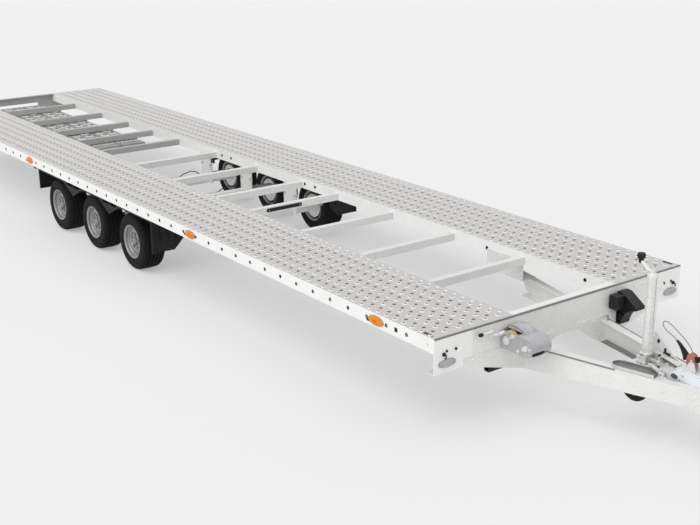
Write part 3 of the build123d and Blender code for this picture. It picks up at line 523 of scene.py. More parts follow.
# Dark walls inside the collars and drain holes: painted shade.
hole_painted_shade = shade_steel("hole_painted_shade", (0.20, 0.19, 0.18), (0.27, 0.258, 0.246), 0.2, (0.5, 0.65),
                         0.006, 0.0002)
for side, y_start in (("right", -1.0487), ("left", 0.4413)):
    for number in range(3):
        piece = plank(f"plank_{side}_{number + 1}", y_start + number * plank_spacing, plank_width, 4,
                      -5.187, 3.453, 0.6168, plank_fold, (collar_rings, drain_rings), plank_pitches,
                      [plank_zinc, plank_collar_polish_and_highlight, hole_painted_shade], "frame", "plank_metal")
        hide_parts(f"runway_{side}")


# ---------------------------------------------------------------- ramps
# Each ramp is pressed like a plank, with larger collars and deeper sides, and lies under the
# cross-members in its cradles. Its front end is a plain plate with one row of round holes.
# The ramps' zinc is much darker than the planks': painted shade, low under the cross-members.
ramp_shade_zinc = shade_steel("ramp_shade_zinc", (0.27, 0.27, 0.265), (0.36, 0.36, 0.355), 0.3, (0.40, 0.52),
                        0.010, 0.0003)
# Lighter ramp collars: partly polish from tyres and partly painted highlight.
ramp_collar_polish_and_highlight = shade_steel("ramp_collar_polish_and_highlight", (0.62, 0.62, 0.61), (0.74, 0.74, 0.73), 0.2, (0.3, 0.42),
                          0.008, 0.0001)
ramp_rings = [(0.0400, 0.0), (0.0300, 0.0042), (0.0240, 0.0044)]
ramp_width, ramp_side = 0.2446, 0.0035
end_low, end_high, end_holes = 0.5205, 0.5238, 5
end_side = ((-2.7035, 0.4725), (-2.7035, end_low), (-2.447, end_low), (-2.447, 0.500), (-2.475, 0.4725))
pull_wire = ((-2.470, 0.085, 0.5245), (-2.462, 0.085, 0.5250), (-2.455, 0.090, 0.5262),
             (-2.452, 0.1275, 0.5264), (-2.455, 0.165, 0.5262), (-2.462, 0.170, 0.5250),
             (-2.470, 0.170, 0.5245))


def punched_plate(work, x0, x1, y0, y1, low, high, holes, radius):
    """A flat plate with a row of round holes across it, as one closed sheet of square cells."""
    step, run = (y1 - y0) / holes, (x1 - x0) / 4
    for n in range(holes):
        a, b = y0 + step * n, y0 + step * (n + 1)
        x, y = (x0 + x1) / 2, (a + b) / 2
        rim = ([(x0 + run * t, a) for t in range(4)] + [(x1, a + step * t / 4) for t in range(4)]
               + [(x1 - run * t, b) for t in range(4)] + [(x0, b - step * t / 4) for t in range(4)])
        turns = [math.atan2(py - y, px - x) for px, py in rim]
        hole = [(x + radius * math.cos(t), y + radius * math.sin(t)) for t in turns]
        work.loft([[(px, py, z) for px, py in line]
                   for line, z in ((rim, high), (hole, high), (hole, low), (rim, low))], capped=False)
    for (xa, ya), (xb, yb), cuts in (((x0, y0), (x1, y0), 4), ((x1, y1), (x0, y1), 4),
                                     ((x0, y0), (x0, y1), 4 * holes), ((x1, y0), (x1, y1), 4 * holes)):
        work.add([(xa + (xb - xa) * t / cuts, ya + (yb - ya) * t / cuts, z)
                  for z in (low, high) for t in range(cuts + 1)],
                 [(t, t + 1, t + cuts + 2, t + cuts + 1) for t in range(cuts)])


for side, way, y_low in (("left", 1, 0.0052), ("right", -1, -0.2498)):
    y_high = y_low + ramp_width
    piece = plank(f"ramp_tread_{side}", y_low, ramp_width, 2, -5.047, -2.700, 0.5240, 0.0515, (ramp_rings,),
                  (0.124, 0.113), [ramp_shade_zinc, ramp_collar_polish_and_highlight, hole_painted_shade], f"ramp_{side}", "galvanised")
    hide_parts(f"ramp_{side}")
    work = Work()
    punched_plate(work, -2.698, -2.500, y_low, y_high, end_low, end_high, end_holes, 0.0155)
    # Lighter collars round the end plate's holes: partly polish from tyres and partly painted highlight.
    work.tint = 1
    for n in range(end_holes):
        work.turned([(0.0158, 0.0), (0.0215, 0.0), (0.0200, 0.0030), (0.0158, 0.0034)],
                    (-2.599, y_low + ramp_width * (n + 0.5) / end_holes, end_high), (0, 0, 1), 24)
    work.tint = 0
    for y in (y_low, y_high - ramp_side):
        work.plate(end_side, "y", y, y + ramp_side)
    work.block(-2.500, -2.4505, y_low, y_high, end_low, end_high)
    work.block(-2.4505, -2.447, y_low, y_high, 0.500, end_high)
    work.tube([(x, way * y, z) for x, y, z in pull_wire], 0.0016, 8)
    end = work.finish(f"ramp_end_{side}", [ramp_shade_zinc, ramp_collar_polish_and_highlight], f"ramp_{side}", "galvanised",
                      edge=0.0004, rounds=1)
    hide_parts(f"ramp_{side}")
work = Work()
for x in member_places[8:]:
    for way in (-1, 1):
        work.bolt((x, way * 0.2615, 0.525), (0, way, 0), 0.0065, 0.004)
        work.pin("x", (way * 0.2605, 0.5335), x - 0.014, x + 0.014, 0.003, 8)
work.finish("runner_bolts", bolt_zinc, slot="zinc")


# ---------------------------------------------------------------- tyres
# Six low van tyres, 195 mm wide on ten-inch wheels: black rubber with four grooves round the
# tread, cuts across both shoulders, and thin ribs on the walls where the mould parted.
wheel_z = 0.234
wheel_y = 0.8895
lug_count = 48
tyre_half = [(0.1275, 0.0780), (0.1275, 0.0850), (0.1395, 0.0852), (0.1425, 0.0905), (0.1470, 0.0950),
             (0.1500, 0.0936), (0.1600, 0.0953), (0.1740, 0.0968), (0.1760, 0.0974), (0.1780, 0.0969),
             (0.1920, 0.0974), (0.2030, 0.0966), (0.2050, 0.0971), (0.2070, 0.0955), (0.2150, 0.0920),
             (0.2215, 0.0868), (0.2265, 0.0805), (0.2300, 0.0740), (0.2322, 0.0640), (0.2330, 0.0560),
             (0.2330, 0.0535), (0.2264, 0.0520), (0.2264, 0.0465), (0.2333, 0.0450), (0.2338, 0.0235),
             (0.2338, 0.0222), (0.2268, 0.0208), (0.2268, 0.0152), (0.2339, 0.0138)]
shoulder_cut = (16, 19)                 # these points of the profile drop into the cuts
cut_depth = 0.0055


def mirrored(half):
    """A whole profile from the half on one side of the middle."""
    return half + [(r, -s) for r, s in reversed(half)]


def tread(step, place, radius):
    """The radius at one step round the tyre, less at a shoulder cut."""
    place = min(place, 2 * len(tyre_half) - 1 - place)
    return radius - cut_depth if step % 4 == 0 and shoulder_cut[0] <= place <= shoulder_cut[1] else radius


tyre_rubber = shade_plastic("tyre_rubber", (0.0095, 0.0095, 0.0098), (0.0150, 0.0150, 0.0154), (0.62, 0.80),
                            0.003, 0.0004, shine=0.10)
wheel_set = [(x, number, side, way) for number, x in enumerate(axle_places, 1)
             for side, way in (("left", 1), ("right", -1))]
for x, number, side, way in wheel_set:
    work = Work()
    work.turned(mirrored(tyre_half), (x, way * wheel_y, wheel_z), (0, way, 0), 4 * lug_count, tread)
    piece = work.finish(f"road_tyre_{number}_{side}", tyre_rubber, f"wheel_{number}_{side}", "tyre", 30)
    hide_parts(f"tyre_{number}_{side}")


# ---------------------------------------------------------------- wheels
# Pressed steel wheels in silver lacquer: a rolled barrel with a well, and a dished disc with ten
# round vents, five bolts in the recess and a steel cap over the bearing. The brake drum that
# shows behind the vents turns with them.
rim_lacquer = shade_steel("rim_lacquer", (0.245, 0.245, 0.245), (0.32, 0.32, 0.32), 0.3, (0.34, 0.48),
                          0.006, 0.0001)
drum_iron = shade_steel("drum_iron", (0.14, 0.138, 0.135), (0.21, 0.205, 0.20), 0.4, (0.5, 0.7), 0.01, 0.0006)
cap_lacquer = shade_steel("cap_lacquer", (0.20, 0.20, 0.20), (0.27, 0.27, 0.27), 0.35, (0.30, 0.44),
                          0.006, 0.0001)
barrel = [(0.1390, 0.0915), (0.1380, 0.0935), (0.1340, 0.0930), (0.1275, 0.0850), (0.1272, 0.0720),
          (0.1180, 0.0620), (0.1150, 0.0200), (0.1150, -0.0200), (0.1180, -0.0350), (0.1272, -0.0620),
          (0.1275, -0.0850), (0.1340, -0.0930), (0.1380, -0.0935), (0.1390, -0.0915),
          (0.1355, -0.0900), (0.1240, -0.0840), (0.1235, -0.0620), (0.1145, -0.0340), (0.1115, -0.0200),
          (0.1115, 0.0540), (0.1145, 0.0590), (0.1235, 0.0690), (0.1240, 0.0840), (0.1355, 0.0900)]
vent_count, vent_steps, vent_radius, vent_place = 10, 8, 0.0068, 0.0895
disc_wall = 0.0045
outer_band = [(0.1116, 0.0320), (0.1114, 0.0520), (0.1080, 0.0600), (0.1010, 0.0645)]
inner_band = [(0.0780, 0.0660), (0.0750, 0.0635), (0.0725, 0.0565), (0.0700, 0.0535), (0.0420, 0.0530),
              (0.0395, 0.0550), (0.0345, 0.0555)]
cap_profile = [(0.0, 0.0780), (0.0140, 0.0774), (0.0250, 0.0750), (0.0305, 0.0700), (0.0320, 0.0640),
               (0.0325, 0.0510), (0.0, 0.0510)]
drum_profile = [(0.0350, -0.0770), (0.1040, -0.0770), (0.1060, -0.0730), (0.1060, -0.0150), (0.1000, -0.0060),
                (0.0600, 0.0010), (0.0480, 0.0480), (0.0350, 0.0480)]
wheel_bolts, bolt_circle = 5, 0.056


def wheel_disc(work, centre, way):
    """The dished disc, one closed sheet with a ring of round vents."""
    cx, cy, cz = centre
    steps = vent_count * vent_steps
    angle = [2 * math.pi * n / steps for n in range(steps)]
    (r_out, s_out), (r_in, s_in) = outer_band[-1], inner_band[0]
    vent_level = (s_out + s_in) / 2 + 0.0012
    fronts = {}

    def arc(radius, turns, along):
        return [work.corner(cx + radius * math.cos(a), cy + way * along, cz + radius * math.sin(a))
                for a in turns]

    for drop in (0.0, -disc_wall):
        for band in (outer_band, inner_band):
            for (r0, s0), (r1, s1) in zip(band, band[1:]):
                work.join(arc(r0, angle, s0 + drop), arc(r1, angle, s1 + drop))
        for vent in range(vent_count):
            run = [angle[(vent * vent_steps + k) % steps] for k in range(vent_steps + 1)]
            middle = 2 * math.pi * (vent + 0.5) / vent_count
            x, z = cx + vent_place * math.cos(middle), cz + vent_place * math.sin(middle)
            rim = arc(r_out, run, s_out + drop) + arc(r_in, run[::-1], s_in + drop)
            turns = [math.atan2(work.points[n][2] - z, work.points[n][0] - x) for n in rim]
            hole = [work.corner(x + vent_radius * math.cos(a), cy + way * (vent_level + drop),
                                z + vent_radius * math.sin(a)) for a in turns]
            work.join(rim, hole)
            if vent in fronts:
                work.join(fronts[vent], hole)
            fronts[vent] = hole
    for r, s in (outer_band[0], inner_band[-1]):
        work.join(arc(r, angle, s), arc(r, angle, s - disc_wall))


for x, number, side, way in wheel_set:
    centre = (x, way * wheel_y, wheel_z)
    work = Work()
    work.turned(barrel, centre, (0, way, 0), 80)
    wheel_disc(work, centre, way)
    work.rod((x + 0.1205, way * (wheel_y + 0.060), wheel_z), (x + 0.1145, way * (wheel_y + 0.084), wheel_z),
             0.0045, 12)
    work.tint = 1
    work.turned(cap_profile, centre, (0, way, 0))
    seat_y = way * (wheel_y + 0.053)
    for k in range(wheel_bolts):
        a = 2 * math.pi * (k + 0.25) / wheel_bolts
        place = (x + bolt_circle * math.cos(a), wheel_z + bolt_circle * math.sin(a))
        work.pin("y", place, seat_y, seat_y + way * 0.005, 0.0125, 18, 0.0100)
        work.pin("y", place, seat_y + way * 0.004, seat_y + way * 0.017, 0.0097, 6)
    work.tint = 2
    work.turned(drum_profile, centre, (0, way, 0), 48)
    piece = work.finish(f"steel_wheel_{number}_{side}", [rim_lacquer, cap_lacquer, drum_iron],
                        f"wheel_{number}_{side}", "wheel_steel", 32)
    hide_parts(f"rim_{number}_{side}")

# A zinc-plated backing plate closes each drum on its inner side and stays with the axle.
backing_profile = [(0.0, -0.0850), (0.0300, -0.0850), (0.0420, -0.0880), (0.0900, -0.0880), (0.0960, -0.0860),
                   (0.1050, -0.0850), (0.1075, -0.0800), (0.1050, -0.0790), (0.0, -0.0790)]
work = Work()
for x in axle_places:
    for way in (-1, 1):
        work.turned(backing_profile, (x, way * wheel_y, wheel_z), (0, way, 0), 48)
        for k in range(4):
            a = math.radians(45 + 90 * k)
            work.bolt((x + 0.032 * math.cos(a), way * (wheel_y - 0.085), wheel_z + 0.032 * math.sin(a)),
                      (0, -way, 0), 0.0062, 0.005)
        work.block(x + 0.052, x + 0.078, way * (wheel_y - 0.0880), way * (wheel_y - 0.0950),
                   wheel_z + 0.018, wheel_z + 0.050)
work.finish("backing_plates", bolt_zinc, slot="zinc")


# ---------------------------------------------------------------- mudguards
# One black moulding over the three wheels of each side, with a valley between neighbours, a
# skirt along its outer edge, and a flap at each end. Black straps hang it from the side rail.
dress(black_moulding, "mudguards_left", "mudguards_right", "guard_brackets")
roof_z, valley_z, bridge_z = 0.506, 0.412, 0.4725       # the skirt bridges each valley at this height
skirt_rise, skirt_drop = 0.0045, 0.022
bridge_share = (roof_z + skirt_rise - bridge_z) / (roof_z - valley_z)
roof_line = [(0.053, roof_z)]
for x in axle_places:
    roof_line += [(x + 0.166, roof_z), (x - 0.166, roof_z)] + ([(x - 0.356, valley_z)] if x > -1.7 else [])
roof_line.append((-2.137, roof_z))
for side, way in right_and_left:
    work = Work()
    for (x0, z0), (x1, z1) in zip(roof_line, roof_line[1:]):
        top = [(x, max(z + skirt_rise, bridge_z)) for x, z in ((x0, z0), (x1, z1))]
        if z0 != z1:
            share = bridge_share if z0 > z1 else 1 - bridge_share
            top.insert(1, (x0 + (x1 - x0) * share, bridge_z))
        work.plate([(x0, z0 - skirt_drop), (x1, z1 - skirt_drop)] + top[::-1],
                   "y", way * 0.9990, way * 0.9955)
    for x, z, out in ((0.0555, 0.232, 1), (-2.1395, 0.312, -1)):
        work.loft([[(x + 0.010 * c, way * (0.9880 + 0.011 * s), h) for c, s in circle(20)]     # rolled edge
                   for h in (z, z + 0.004, 0.504, roof_z)])
        for y in (0.780, 0.850, 0.920):
            work.block(x + out * 0.0005 - 0.0030, x + out * 0.0050, way * (y - 0.003), way * (y + 0.003),
                       z + 0.09, 0.492)
    for x in axle_places:
        for y in (0.800, 0.890):
            work.block(x - 0.150, x + 0.150, way * (y - 0.006), way * (y + 0.006), 0.508, 0.5125)
    work.finish(f"guard_skirt_{side}", black_moulding, slot="black_plastic", edge=0.0007, rounds=1)


# ---------------------------------------------------------------- drawbar
# Two tapered channels, bent so that they meet beside the overrun housing, bolted to the front
# beam through gusset plates and to the inner rails through angle brackets. A bridge plate
# between them carries the jockey wheel and the parking plate for the plug.
leg_zinc = shade_steel("leg_zinc", (0.72, 0.72, 0.70), (0.80, 0.80, 0.78), 0.12, (0.42, 0.56), 0.012, 0.0002)
dress(leg_zinc, "drawbar_leg_left", "drawbar_leg_right", "drawbar_gussets")
dress(frame_zinc, "leg_brackets", "drawbar_bridge", "socket_plate")
root_y, tip_y, root_x, slant_length = 0.361, 0.118, 3.453, 0.960


def slant_share(x):
    """How far along its slanted part a leg has come at x, from 0 to 1."""
    return min((x - root_x) / slant_length, 1.0)


def leg_outer(x):
    """Outer face of a leg at x, out from the middle."""
    return root_y - (root_y - tip_y) * slant_share(x)


rail_bolts = ((2.330, 0.455), (2.430, 0.455), (2.430, 0.545), (2.545, 0.455), (2.545, 0.545), (2.625, 0.455),
              (2.625, 0.545))
work = Work()
for way in (-1, 1):
    face_out = Vector((root_y - tip_y, way * slant_length, 0))
    for x, z in ((4.297, 0.366), (4.301, 0.326), (4.188, 0.325)):
        work.bolt((x, way * leg_outer(x), z), face_out, 0.0068, 0.0042)
    for x in (4.480, 4.730):
        for z in (0.385, 0.340):
            work.bolt((x, way * tip_y, z), (0, way, 0), 0.0090, 0.006)
    for x, z in rail_bolts:
        work.bolt((x, way * 0.434, z), (0, -way, 0), 0.0090, 0.006)
    for x in (2.500, 2.585):
        work.bolt((x, way * 0.500, 0.421), (0, 0, 1), 0.0090, 0.006)
work.finish("drawbar_bolts", beam_zinc, slot="zinc")

# A thin strip lies on the lower flange inside each leg. Its dark colour is painted shade under
# the leg's top flange.
recess_painted_shade = shade_steel("recess_painted_shade", (0.17, 0.17, 0.17), (0.25, 0.25, 0.25), 0.3, (0.4, 0.55), 0.010, 0.0002)
tray_section = ((0.0062, 0.0), (0.0590, 0.0), (0.0590, 0.0050), (0.0570, 0.0050), (0.0570, 0.0018),
                (0.0062, 0.0018))         # from the leg's outer face, up
for side, way in right_and_left:
    work = Work()
    work.loft([[(x, way * (leg_outer(x) - a), 0.2753 + 0.040 * slant_share(x) + b) for a, b in tray_section]
               for x in (3.475, 3.90, 4.405, 4.700)])
    work.finish(f"flange_shade_strip_{side}", recess_painted_shade, slot="galvanised", crisp=30)

# The brake and lamp leads run in a grey sheath along the top of each leg.
sheath_grey = shade_plastic("sheath_grey", (0.17, 0.165, 0.16), (0.25, 0.245, 0.24), (0.45, 0.6),
                            0.002, 0.0001)
for side, way, places in (("right", -1, (3.475, 3.60, 3.80, 3.95, 4.02)),
                          ("left", 1, (3.475, 3.60, 3.80, 4.00, 4.20, 4.36))):
    work = Work()
    work.tube([(x, way * leg_outer(x), 0.4140) for x in places], 0.0048)
    work.finish(f"lead_sheath_{side}", sheath_grey, slot="black_plastic", crisp=50)


# ---------------------------------------------------------------- bridge tray and brake rod
# A pressed tray with a rolled lip sits on the bridge beside the right leg. Next to it a sprung
# rod carries the brake's pull rearwards, held by nuts on both sides of a small angle.
tray_zinc = shade_steel("tray_zinc", (0.62, 0.62, 0.61), (0.76, 0.76, 0.75), 0.4, (0.28, 0.42), 0.01, 0.0002)
bright_zinc = shade_steel("bright_zinc", (0.72, 0.72, 0.71), (0.86, 0.86, 0.85), 0.55, (0.2, 0.34),
                          0.01, 0.0001)
tray_rear, tray_front = Vector((4.010, -0.158, 0)), Vector((4.222, -0.104, 0))
tray_way = (tray_front - tray_rear).normalized()
tray_side = Vector((-tray_way.y, tray_way.x, 0))
tray_lip = ((0.0440, 0.4155), (0.0475, 0.4185), (0.0480, 0.4300), (0.0520, 0.4320), (0.0520, 0.4350),
            (0.0465, 0.4350), (0.0462, 0.4330), (0.0460, 0.4200), (0.0420, 0.4180))     # half width, height
tray_inside = ((0.0456, 0.4186), (0.0459, 0.4335), (0.0440, 0.4335), (0.0432, 0.4210), (0.0040, 0.4205))
bridge_top = 0.4152


def tray_outline(half, z):
    """Round at its rear end, square at the front."""
    line = [tray_front + tray_side * half, tray_rear + tray_side * half]
    line += [tray_rear + half * (c * tray_side - s * tray_way) for c, s in circle(28)[1:14]]
    line += [tray_rear - tray_side * half, tray_front - tray_side * half]
    return [(p.x, p.y, z) for p in line]


def oval(x, z, long, high, steps):
    """An oval seen from the side."""
    return [(x + long * c, z + high * s) for c, s in circle(steps)]


work = Work()
work.loft([tray_outline(half, z) for half, z in tray_lip], closed=True)
# The tray's inside is painted dark as painted shade.
work.tint = 1
work.loft([tray_outline(half, z) for half, z in tray_inside])
work.finish("bridge_tray", [tray_zinc, recess_painted_shade], slot="galvanised", crisp=40)
work = Work()
work.plate([(4.060, bridge_top), (4.235, bridge_top), (4.235, 0.4200), (4.235, 0.4400), (4.060, 0.4700),
            (4.060, 0.4640), (4.229, 0.4352), (4.229, 0.4200), (4.060, 0.4200)], "y", 0.052, 0.092)
work.tint = 1
work.bolt((4.150, 0.072, 0.4200), (0, 0, 1), 0.0090, 0.006)
rod_from, rod_to = Vector((4.130, -0.066, 0.448)), Vector((4.262, -0.098, 0.432))
pull = rod_to - rod_from
work.rod(rod_from, rod_to, 0.0050, 12)
across, other = axes_across(pull.normalized())
coil_turns, coil_steps, coil_radius = 9, 14, 0.0115
coil = [rod_from + pull * (0.16 + 0.56 * n / (coil_turns * coil_steps))
        + coil_radius * (c * across + s * other)
        for n, (c, s) in enumerate(circle(coil_steps) * coil_turns + [(1.0, 0.0)])]
work.tube(coil, 0.0022, 7)
for share in (0.10, 0.76, 0.90):
    nut, washer, face = (rod_from + pull * (share + at) for at in (0, 0.045, 0.06))
    work.rod(nut, washer, 0.0095, 6)
    work.rod(washer, face, 0.0125)
work.block(4.2300, 4.2345, -0.112, -0.072, bridge_top, 0.4560)
for x, y in ((4.1900, -0.020), (4.0020, 0.120), (4.1880, 0.100)):
    work.bolt((x, y, bridge_top), (0, 0, 1), 0.0090, 0.006)
work.finish("brake_rod_spring", [tray_zinc, bright_zinc], slot="zinc", crisp=50)

# Black clips on the parking plate hold the plug while the trailer stands alone.
work = Work()
work.block(4.100, 4.145, 0.090, 0.0978, 0.425, 0.470)
work.block(4.150, 4.190, 0.1042, 0.112, 0.4155, 0.432)
work.tube([(4.150, 0.094, 0.447), (4.175, 0.093, 0.440), (4.200, 0.091, 0.430), (4.212, 0.090, 0.424)],
          [0.010, 0.010, 0.008, 0.005], 12)
for x, z in ((4.057, 0.519), (4.108, 0.481), (4.139, 0.445)):
    work.plate(oval(x, z, 0.0085, 0.0125, 18), "y", 0.0965, 0.1050)
work.finish("plug_clips", black_moulding, slot="black_plastic", edge=0.001)


# ---------------------------------------------------------------- overrun brake
# A cast housing bolted between the legs, coated in pale zinc, with bosses on its flanks, and on
# each flank a dark oval that is the painted shade of an opening. A steel tube slides in it under
# a rubber bellows of six folds.
housing_cast = shade_steel("housing_cast", (0.73, 0.755, 0.79), (0.83, 0.855, 0.88), 0.15, (0.26, 0.42),
                           0.012, 0.0004)
dress(housing_cast, "overrun_housing")
dress(bright_zinc, "coupling_tube", "coupling_head")
opening_painted_shade = shade_steel("opening_painted_shade", (0.05, 0.055, 0.06), (0.10, 0.105, 0.11), 0.3, (0.45, 0.6),
                           0.01, 0.0004)
housing_half, housing_top, tow_z = 0.058, 0.468, 0.430
front_flange = ((-0.056, 0.350), (0.056, 0.350), (0.060, 0.360), (0.060, 0.455), (0.048, 0.4705),
                (-0.048, 0.4705), (-0.060, 0.455), (-0.060, 0.360))
work = Work()
for way in (-1, 1):
    y = way * housing_half
    # Tint 1 is the dark oval: painted shade of an opening.
    for tint, long, high, out in ((0, 0.028, 0.019, 0.004), (1, 0.024, 0.015, 0.0045)):
        work.tint = tint
        work.plate(oval(4.300, 0.432, long, high, 24), "y", y, y + way * out)
    work.tint = 0
    work.block(4.420, 4.775, y, y + way * 0.004, 0.4215, 0.4305)
    work.pin("y", (4.352, 0.452), y, y + way * 0.004, 0.010, 18)
    work.tint = 2
    work.bolt((4.352, y + way * 0.003, 0.452), (0, way, 0), 0.0062, 0.005)
    work.bolt((4.331, y, 0.424), (0, way, 0), 0.0050, 0.004)
work.tint = 0
work.plate(front_flange, "x", 4.768, 4.784)
for y in (-0.036, 0.036):
    work.block(4.380, 4.768, y - 0.004, y + 0.004, 0.466, 0.4715)
work.tint = 2
for x in (4.700, 4.500):
    work.pin("z", (x, 0), housing_top, 0.474, 0.0060, 6)
    work.pin("z", (x, 0), 0.474, 0.482, 0.0030, 12, 0.0042)
work.finish("housing_fittings", [housing_cast, opening_painted_shade, bolt_zinc], slot="casting", edge=0.0008)

fold_pitch = 0.024
one_fold = ((0.20, 0.0440), (0.32, 0.0480), (0.44, 0.0512), (0.50, 0.0518), (0.56, 0.0512), (0.68, 0.0480),
            (0.80, 0.0440), (0.95, 0.0428))         # share of the pitch, radius
folds = [(0.0308, 0.0), (0.0400, 0.0), (0.0430, 0.003)]
folds += [(radius, fold_pitch * (n + share)) for n in range(6) for share, radius in one_fold]
folds += [(0.0400, 0.1435), (0.0308, 0.1435)]
work = Work()
work.turned(folds, (4.783, 0, tow_z), (1, 0, 0), 48)
bellows = work.finish("bellows", black_rubber, slot="rubber", crisp=60)
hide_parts("gaiter")


# ---------------------------------------------------------------- coupling head and its handle
# A pressed steel head over a 50 mm ball, bolted through its sleeve. The handle on top is black
# nylon with finger ridges below, and lifts up and forward to open the lock.
def flat_bar(spine, section):
    """Rings of a bent bar; its spine gives x, z, half width and half thickness."""
    rings = []
    for n, (x, z, half, thick) in enumerate(spine):
        x0, z0 = spine[max(n - 1, 0)][:2]
        x1, z1 = spine[min(n + 1, len(spine) - 1)][:2]
        run = math.hypot(x1 - x0, z1 - z0)
        rings.append([(x + (z1 - z0) / run * thick * b, half * a, z + (x0 - x1) / run * thick * b)
                      for a, b in section])
    return rings


ball_ring = [(0.0425, 0.0), (0.0470, 0.001), (0.0480, 0.004), (0.0470, 0.007), (0.0425, 0.008)]
grip_spine = [(5.190, 0.4645, 0.0120, 0.0030), (5.186, 0.4720, 0.0145, 0.0052),
              (5.150, 0.4735, 0.0150, 0.0052), (5.128, 0.4760, 0.0150, 0.0052),
              (5.100, 0.4870, 0.0140, 0.0052), (5.060, 0.5040, 0.0135, 0.0052),
              (5.020, 0.5180, 0.0140, 0.0052), (4.990, 0.5250, 0.0148, 0.0052),
              (4.973, 0.5245, 0.0120, 0.0030)]
work = Work()
for way in (-1, 1):
    for x in (4.955, 5.015):
        work.bolt((x, way * 0.0378, tow_z), (0, way, 0), 0.0095, 0.006)
work.tint = 1
work.turned(ball_ring, (5.161, 0, 0.4105), (0, 0, 1), 40)
work.pin("y", (5.161, 0.4640), -0.014, 0.014, 0.006, 14)
work.finish("coupling_fittings", [bolt_zinc, bright_zinc], slot="zinc")
work = Work()
work.loft(flat_bar(grip_spine, eased_square(0.8, 0.5)))
for x, z in ((5.075, 0.4910), (5.055, 0.4990), (5.035, 0.5065)):
    work.pin("y", (x, z), -0.0125, 0.0125, 0.0042, 12)
grip = work.finish("coupling_grip", black_moulding, slot="black_plastic", crisp=45)
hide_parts("coupling_handle")


# ---------------------------------------------------------------- parking brake lever
# Two cheeks bolted on the housing hold a toothed quadrant and a red-brown cam; the steel lever
# lies let down to the front, in a black sheath, and ends in a ribbed rubber grip.
cam_red = shade_plastic("cam_red", (0.30, 0.10, 0.072), (0.44, 0.18, 0.14), (0.40, 0.55), 0.003, 0.0003)
pivot = Vector((4.368, 0, 0.534))
cheek = ((4.338, 0.468), (4.402, 0.468), (4.402, 0.480), (4.392, 0.510), (4.384, 0.524), (4.370, 0.528),
         (4.358, 0.524), (4.350, 0.510), (4.338, 0.480))
work = Work()
for way in (-1, 1):
    work.plate(cheek, "y", way * 0.0205, way * 0.0170)
    work.block(4.338, 4.402, way * 0.0135, way * 0.0250, housing_top, 0.472)
    work.bolt((4.385, way * 0.0190, 0.472), (0, 0, 1), 0.0055, 0.004)
work.pin("y", (pivot.x, pivot.z), -0.0215, 0.0215, 0.0060, 6)
work.tint = 1
teeth = []
for n in range(15):
    a = math.radians(30 + 8.5 * n)
    size = 0.0270 if n % 2 else 0.0245
    teeth.append((4.360 + size * math.cos(a), 0.5430 + size * math.sin(a)))
heel = [(4.333, 0.536), (4.334, 0.515), (4.342, 0.482), (4.366, 0.478), (4.384, 0.500), (4.387, 0.536)]
work.plate(teeth + heel, "y", -0.0165, 0.0165)
work.tint = 2
reach = Vector((0.340, 0, 0.120)).normalized()
over = Vector((-reach.z, 0, reach.x))
sheath = ((0.018, 0.0150, 0.0110), (0.060, 0.0160, 0.0115), (0.110, 0.0130, 0.0090), (0.330, 0.0100, 0.0062))
work.loft([[pivot + reach * s + over * high * b + Vector((0, half * a, 0)) for a, b in eased_square(0.6, 0.6)]
           for s, high, half in sheath])
grip_from, grip_to = Vector((4.700, 0, 0.6525)), Vector((4.8265, 0, 0.6690))
ribs = [(0.00, 0.0120), (0.03, 0.0145), (0.06, 0.0145)]         # share of the grip, radius
for n in range(9):
    ribs += [(0.10 + 0.09 * n, 0.0130), (0.13 + 0.09 * n, 0.0142), (0.16 + 0.09 * n, 0.0142)]
ribs += [(0.94, 0.0148), (0.98, 0.0135), (1.0, 0.0090)]
work.tube([grip_from.lerp(grip_to, share) for share, _ in ribs], [size for _, size in ribs], 18)
work.rod(grip_to - Vector((0.001, 0, 0)), grip_to + Vector((0.0015, 0, 0.0002)), 0.0055, 14)
lever = work.finish("parking_lever", [tray_zinc, cam_red, black_rubber], slot="black_plastic", crisp=40)
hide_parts("handbrake_lever")


# ---------------------------------------------------------------- breakaway cable
# A 4 mm plastic-coated steel cable that pulls the brake on if the trailer comes off the car.
# It is stiff, so it stands in a loop beside the lever, and a black sleeve guards its lower run.
cable_route = [(4.365, 0.468), (4.365, 0.511), (4.343, 0.565), (4.297, 0.612), (4.241, 0.646), (4.187, 0.675),
               (4.150, 0.690), (4.125, 0.665), (4.151, 0.633), (4.210, 0.613), (4.260, 0.580), (4.297, 0.536),
               (4.316, 0.503), (4.316, 0.468)]
cable_y = 0.026
cable_coat = shade_plastic("cable_coat", (0.035, 0.035, 0.035), (0.08, 0.08, 0.08), (0.35, 0.5),
                           0.0015, 0.0002)
line = bpy.data.curves.new("breakaway_line", "CURVE")
line.dimensions = "3D"
run = line.splines.new("NURBS")
run.points.add(len(cable_route) - 1)
for place, (x, z) in zip(run.points, cable_route):
    place.co = (x, cable_y, z, 1)
run.order_u = 3
run.use_endpoint_u = True
run.resolution_u = 8
breakaway_line = stand("breakaway_line", line)
bare = bpy.data.meshes.new_from_object(breakaway_line)
cable_points = [v.co.copy() for v in bare.vertices]
bpy.data.meshes.remove(bare)
line.bevel_depth = 0.002
line.bevel_resolution = 3
line.materials.append(cable_coat)
lower = [p for p in cable_points[len(cable_points) // 2:] if 0.508 < p.z < 0.600]
sleeve_sizes = [0.0066 + 0.0165 * (n / (len(lower) - 1)) ** 1.2 + 0.0007 * (n % 2) for n in range(len(lower))]
work = Work()
work.tube(lower, sleeve_sizes, 16)
cable_sleeve = work.finish("cable_sleeve", black_rubber, slot="rubber", crisp=60)
work = Work()
for high, size in ((0.004, 0.0058), (0.012, 0.0042)):
    for x in (4.365, 4.316):
        work.pin("z", (x, cable_y), housing_top, housing_top + high, size, 14)
work.finish("cable_seats", bolt_zinc, slot="zinc")
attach(breakaway_line, "frame")
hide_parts("breakaway_cable")


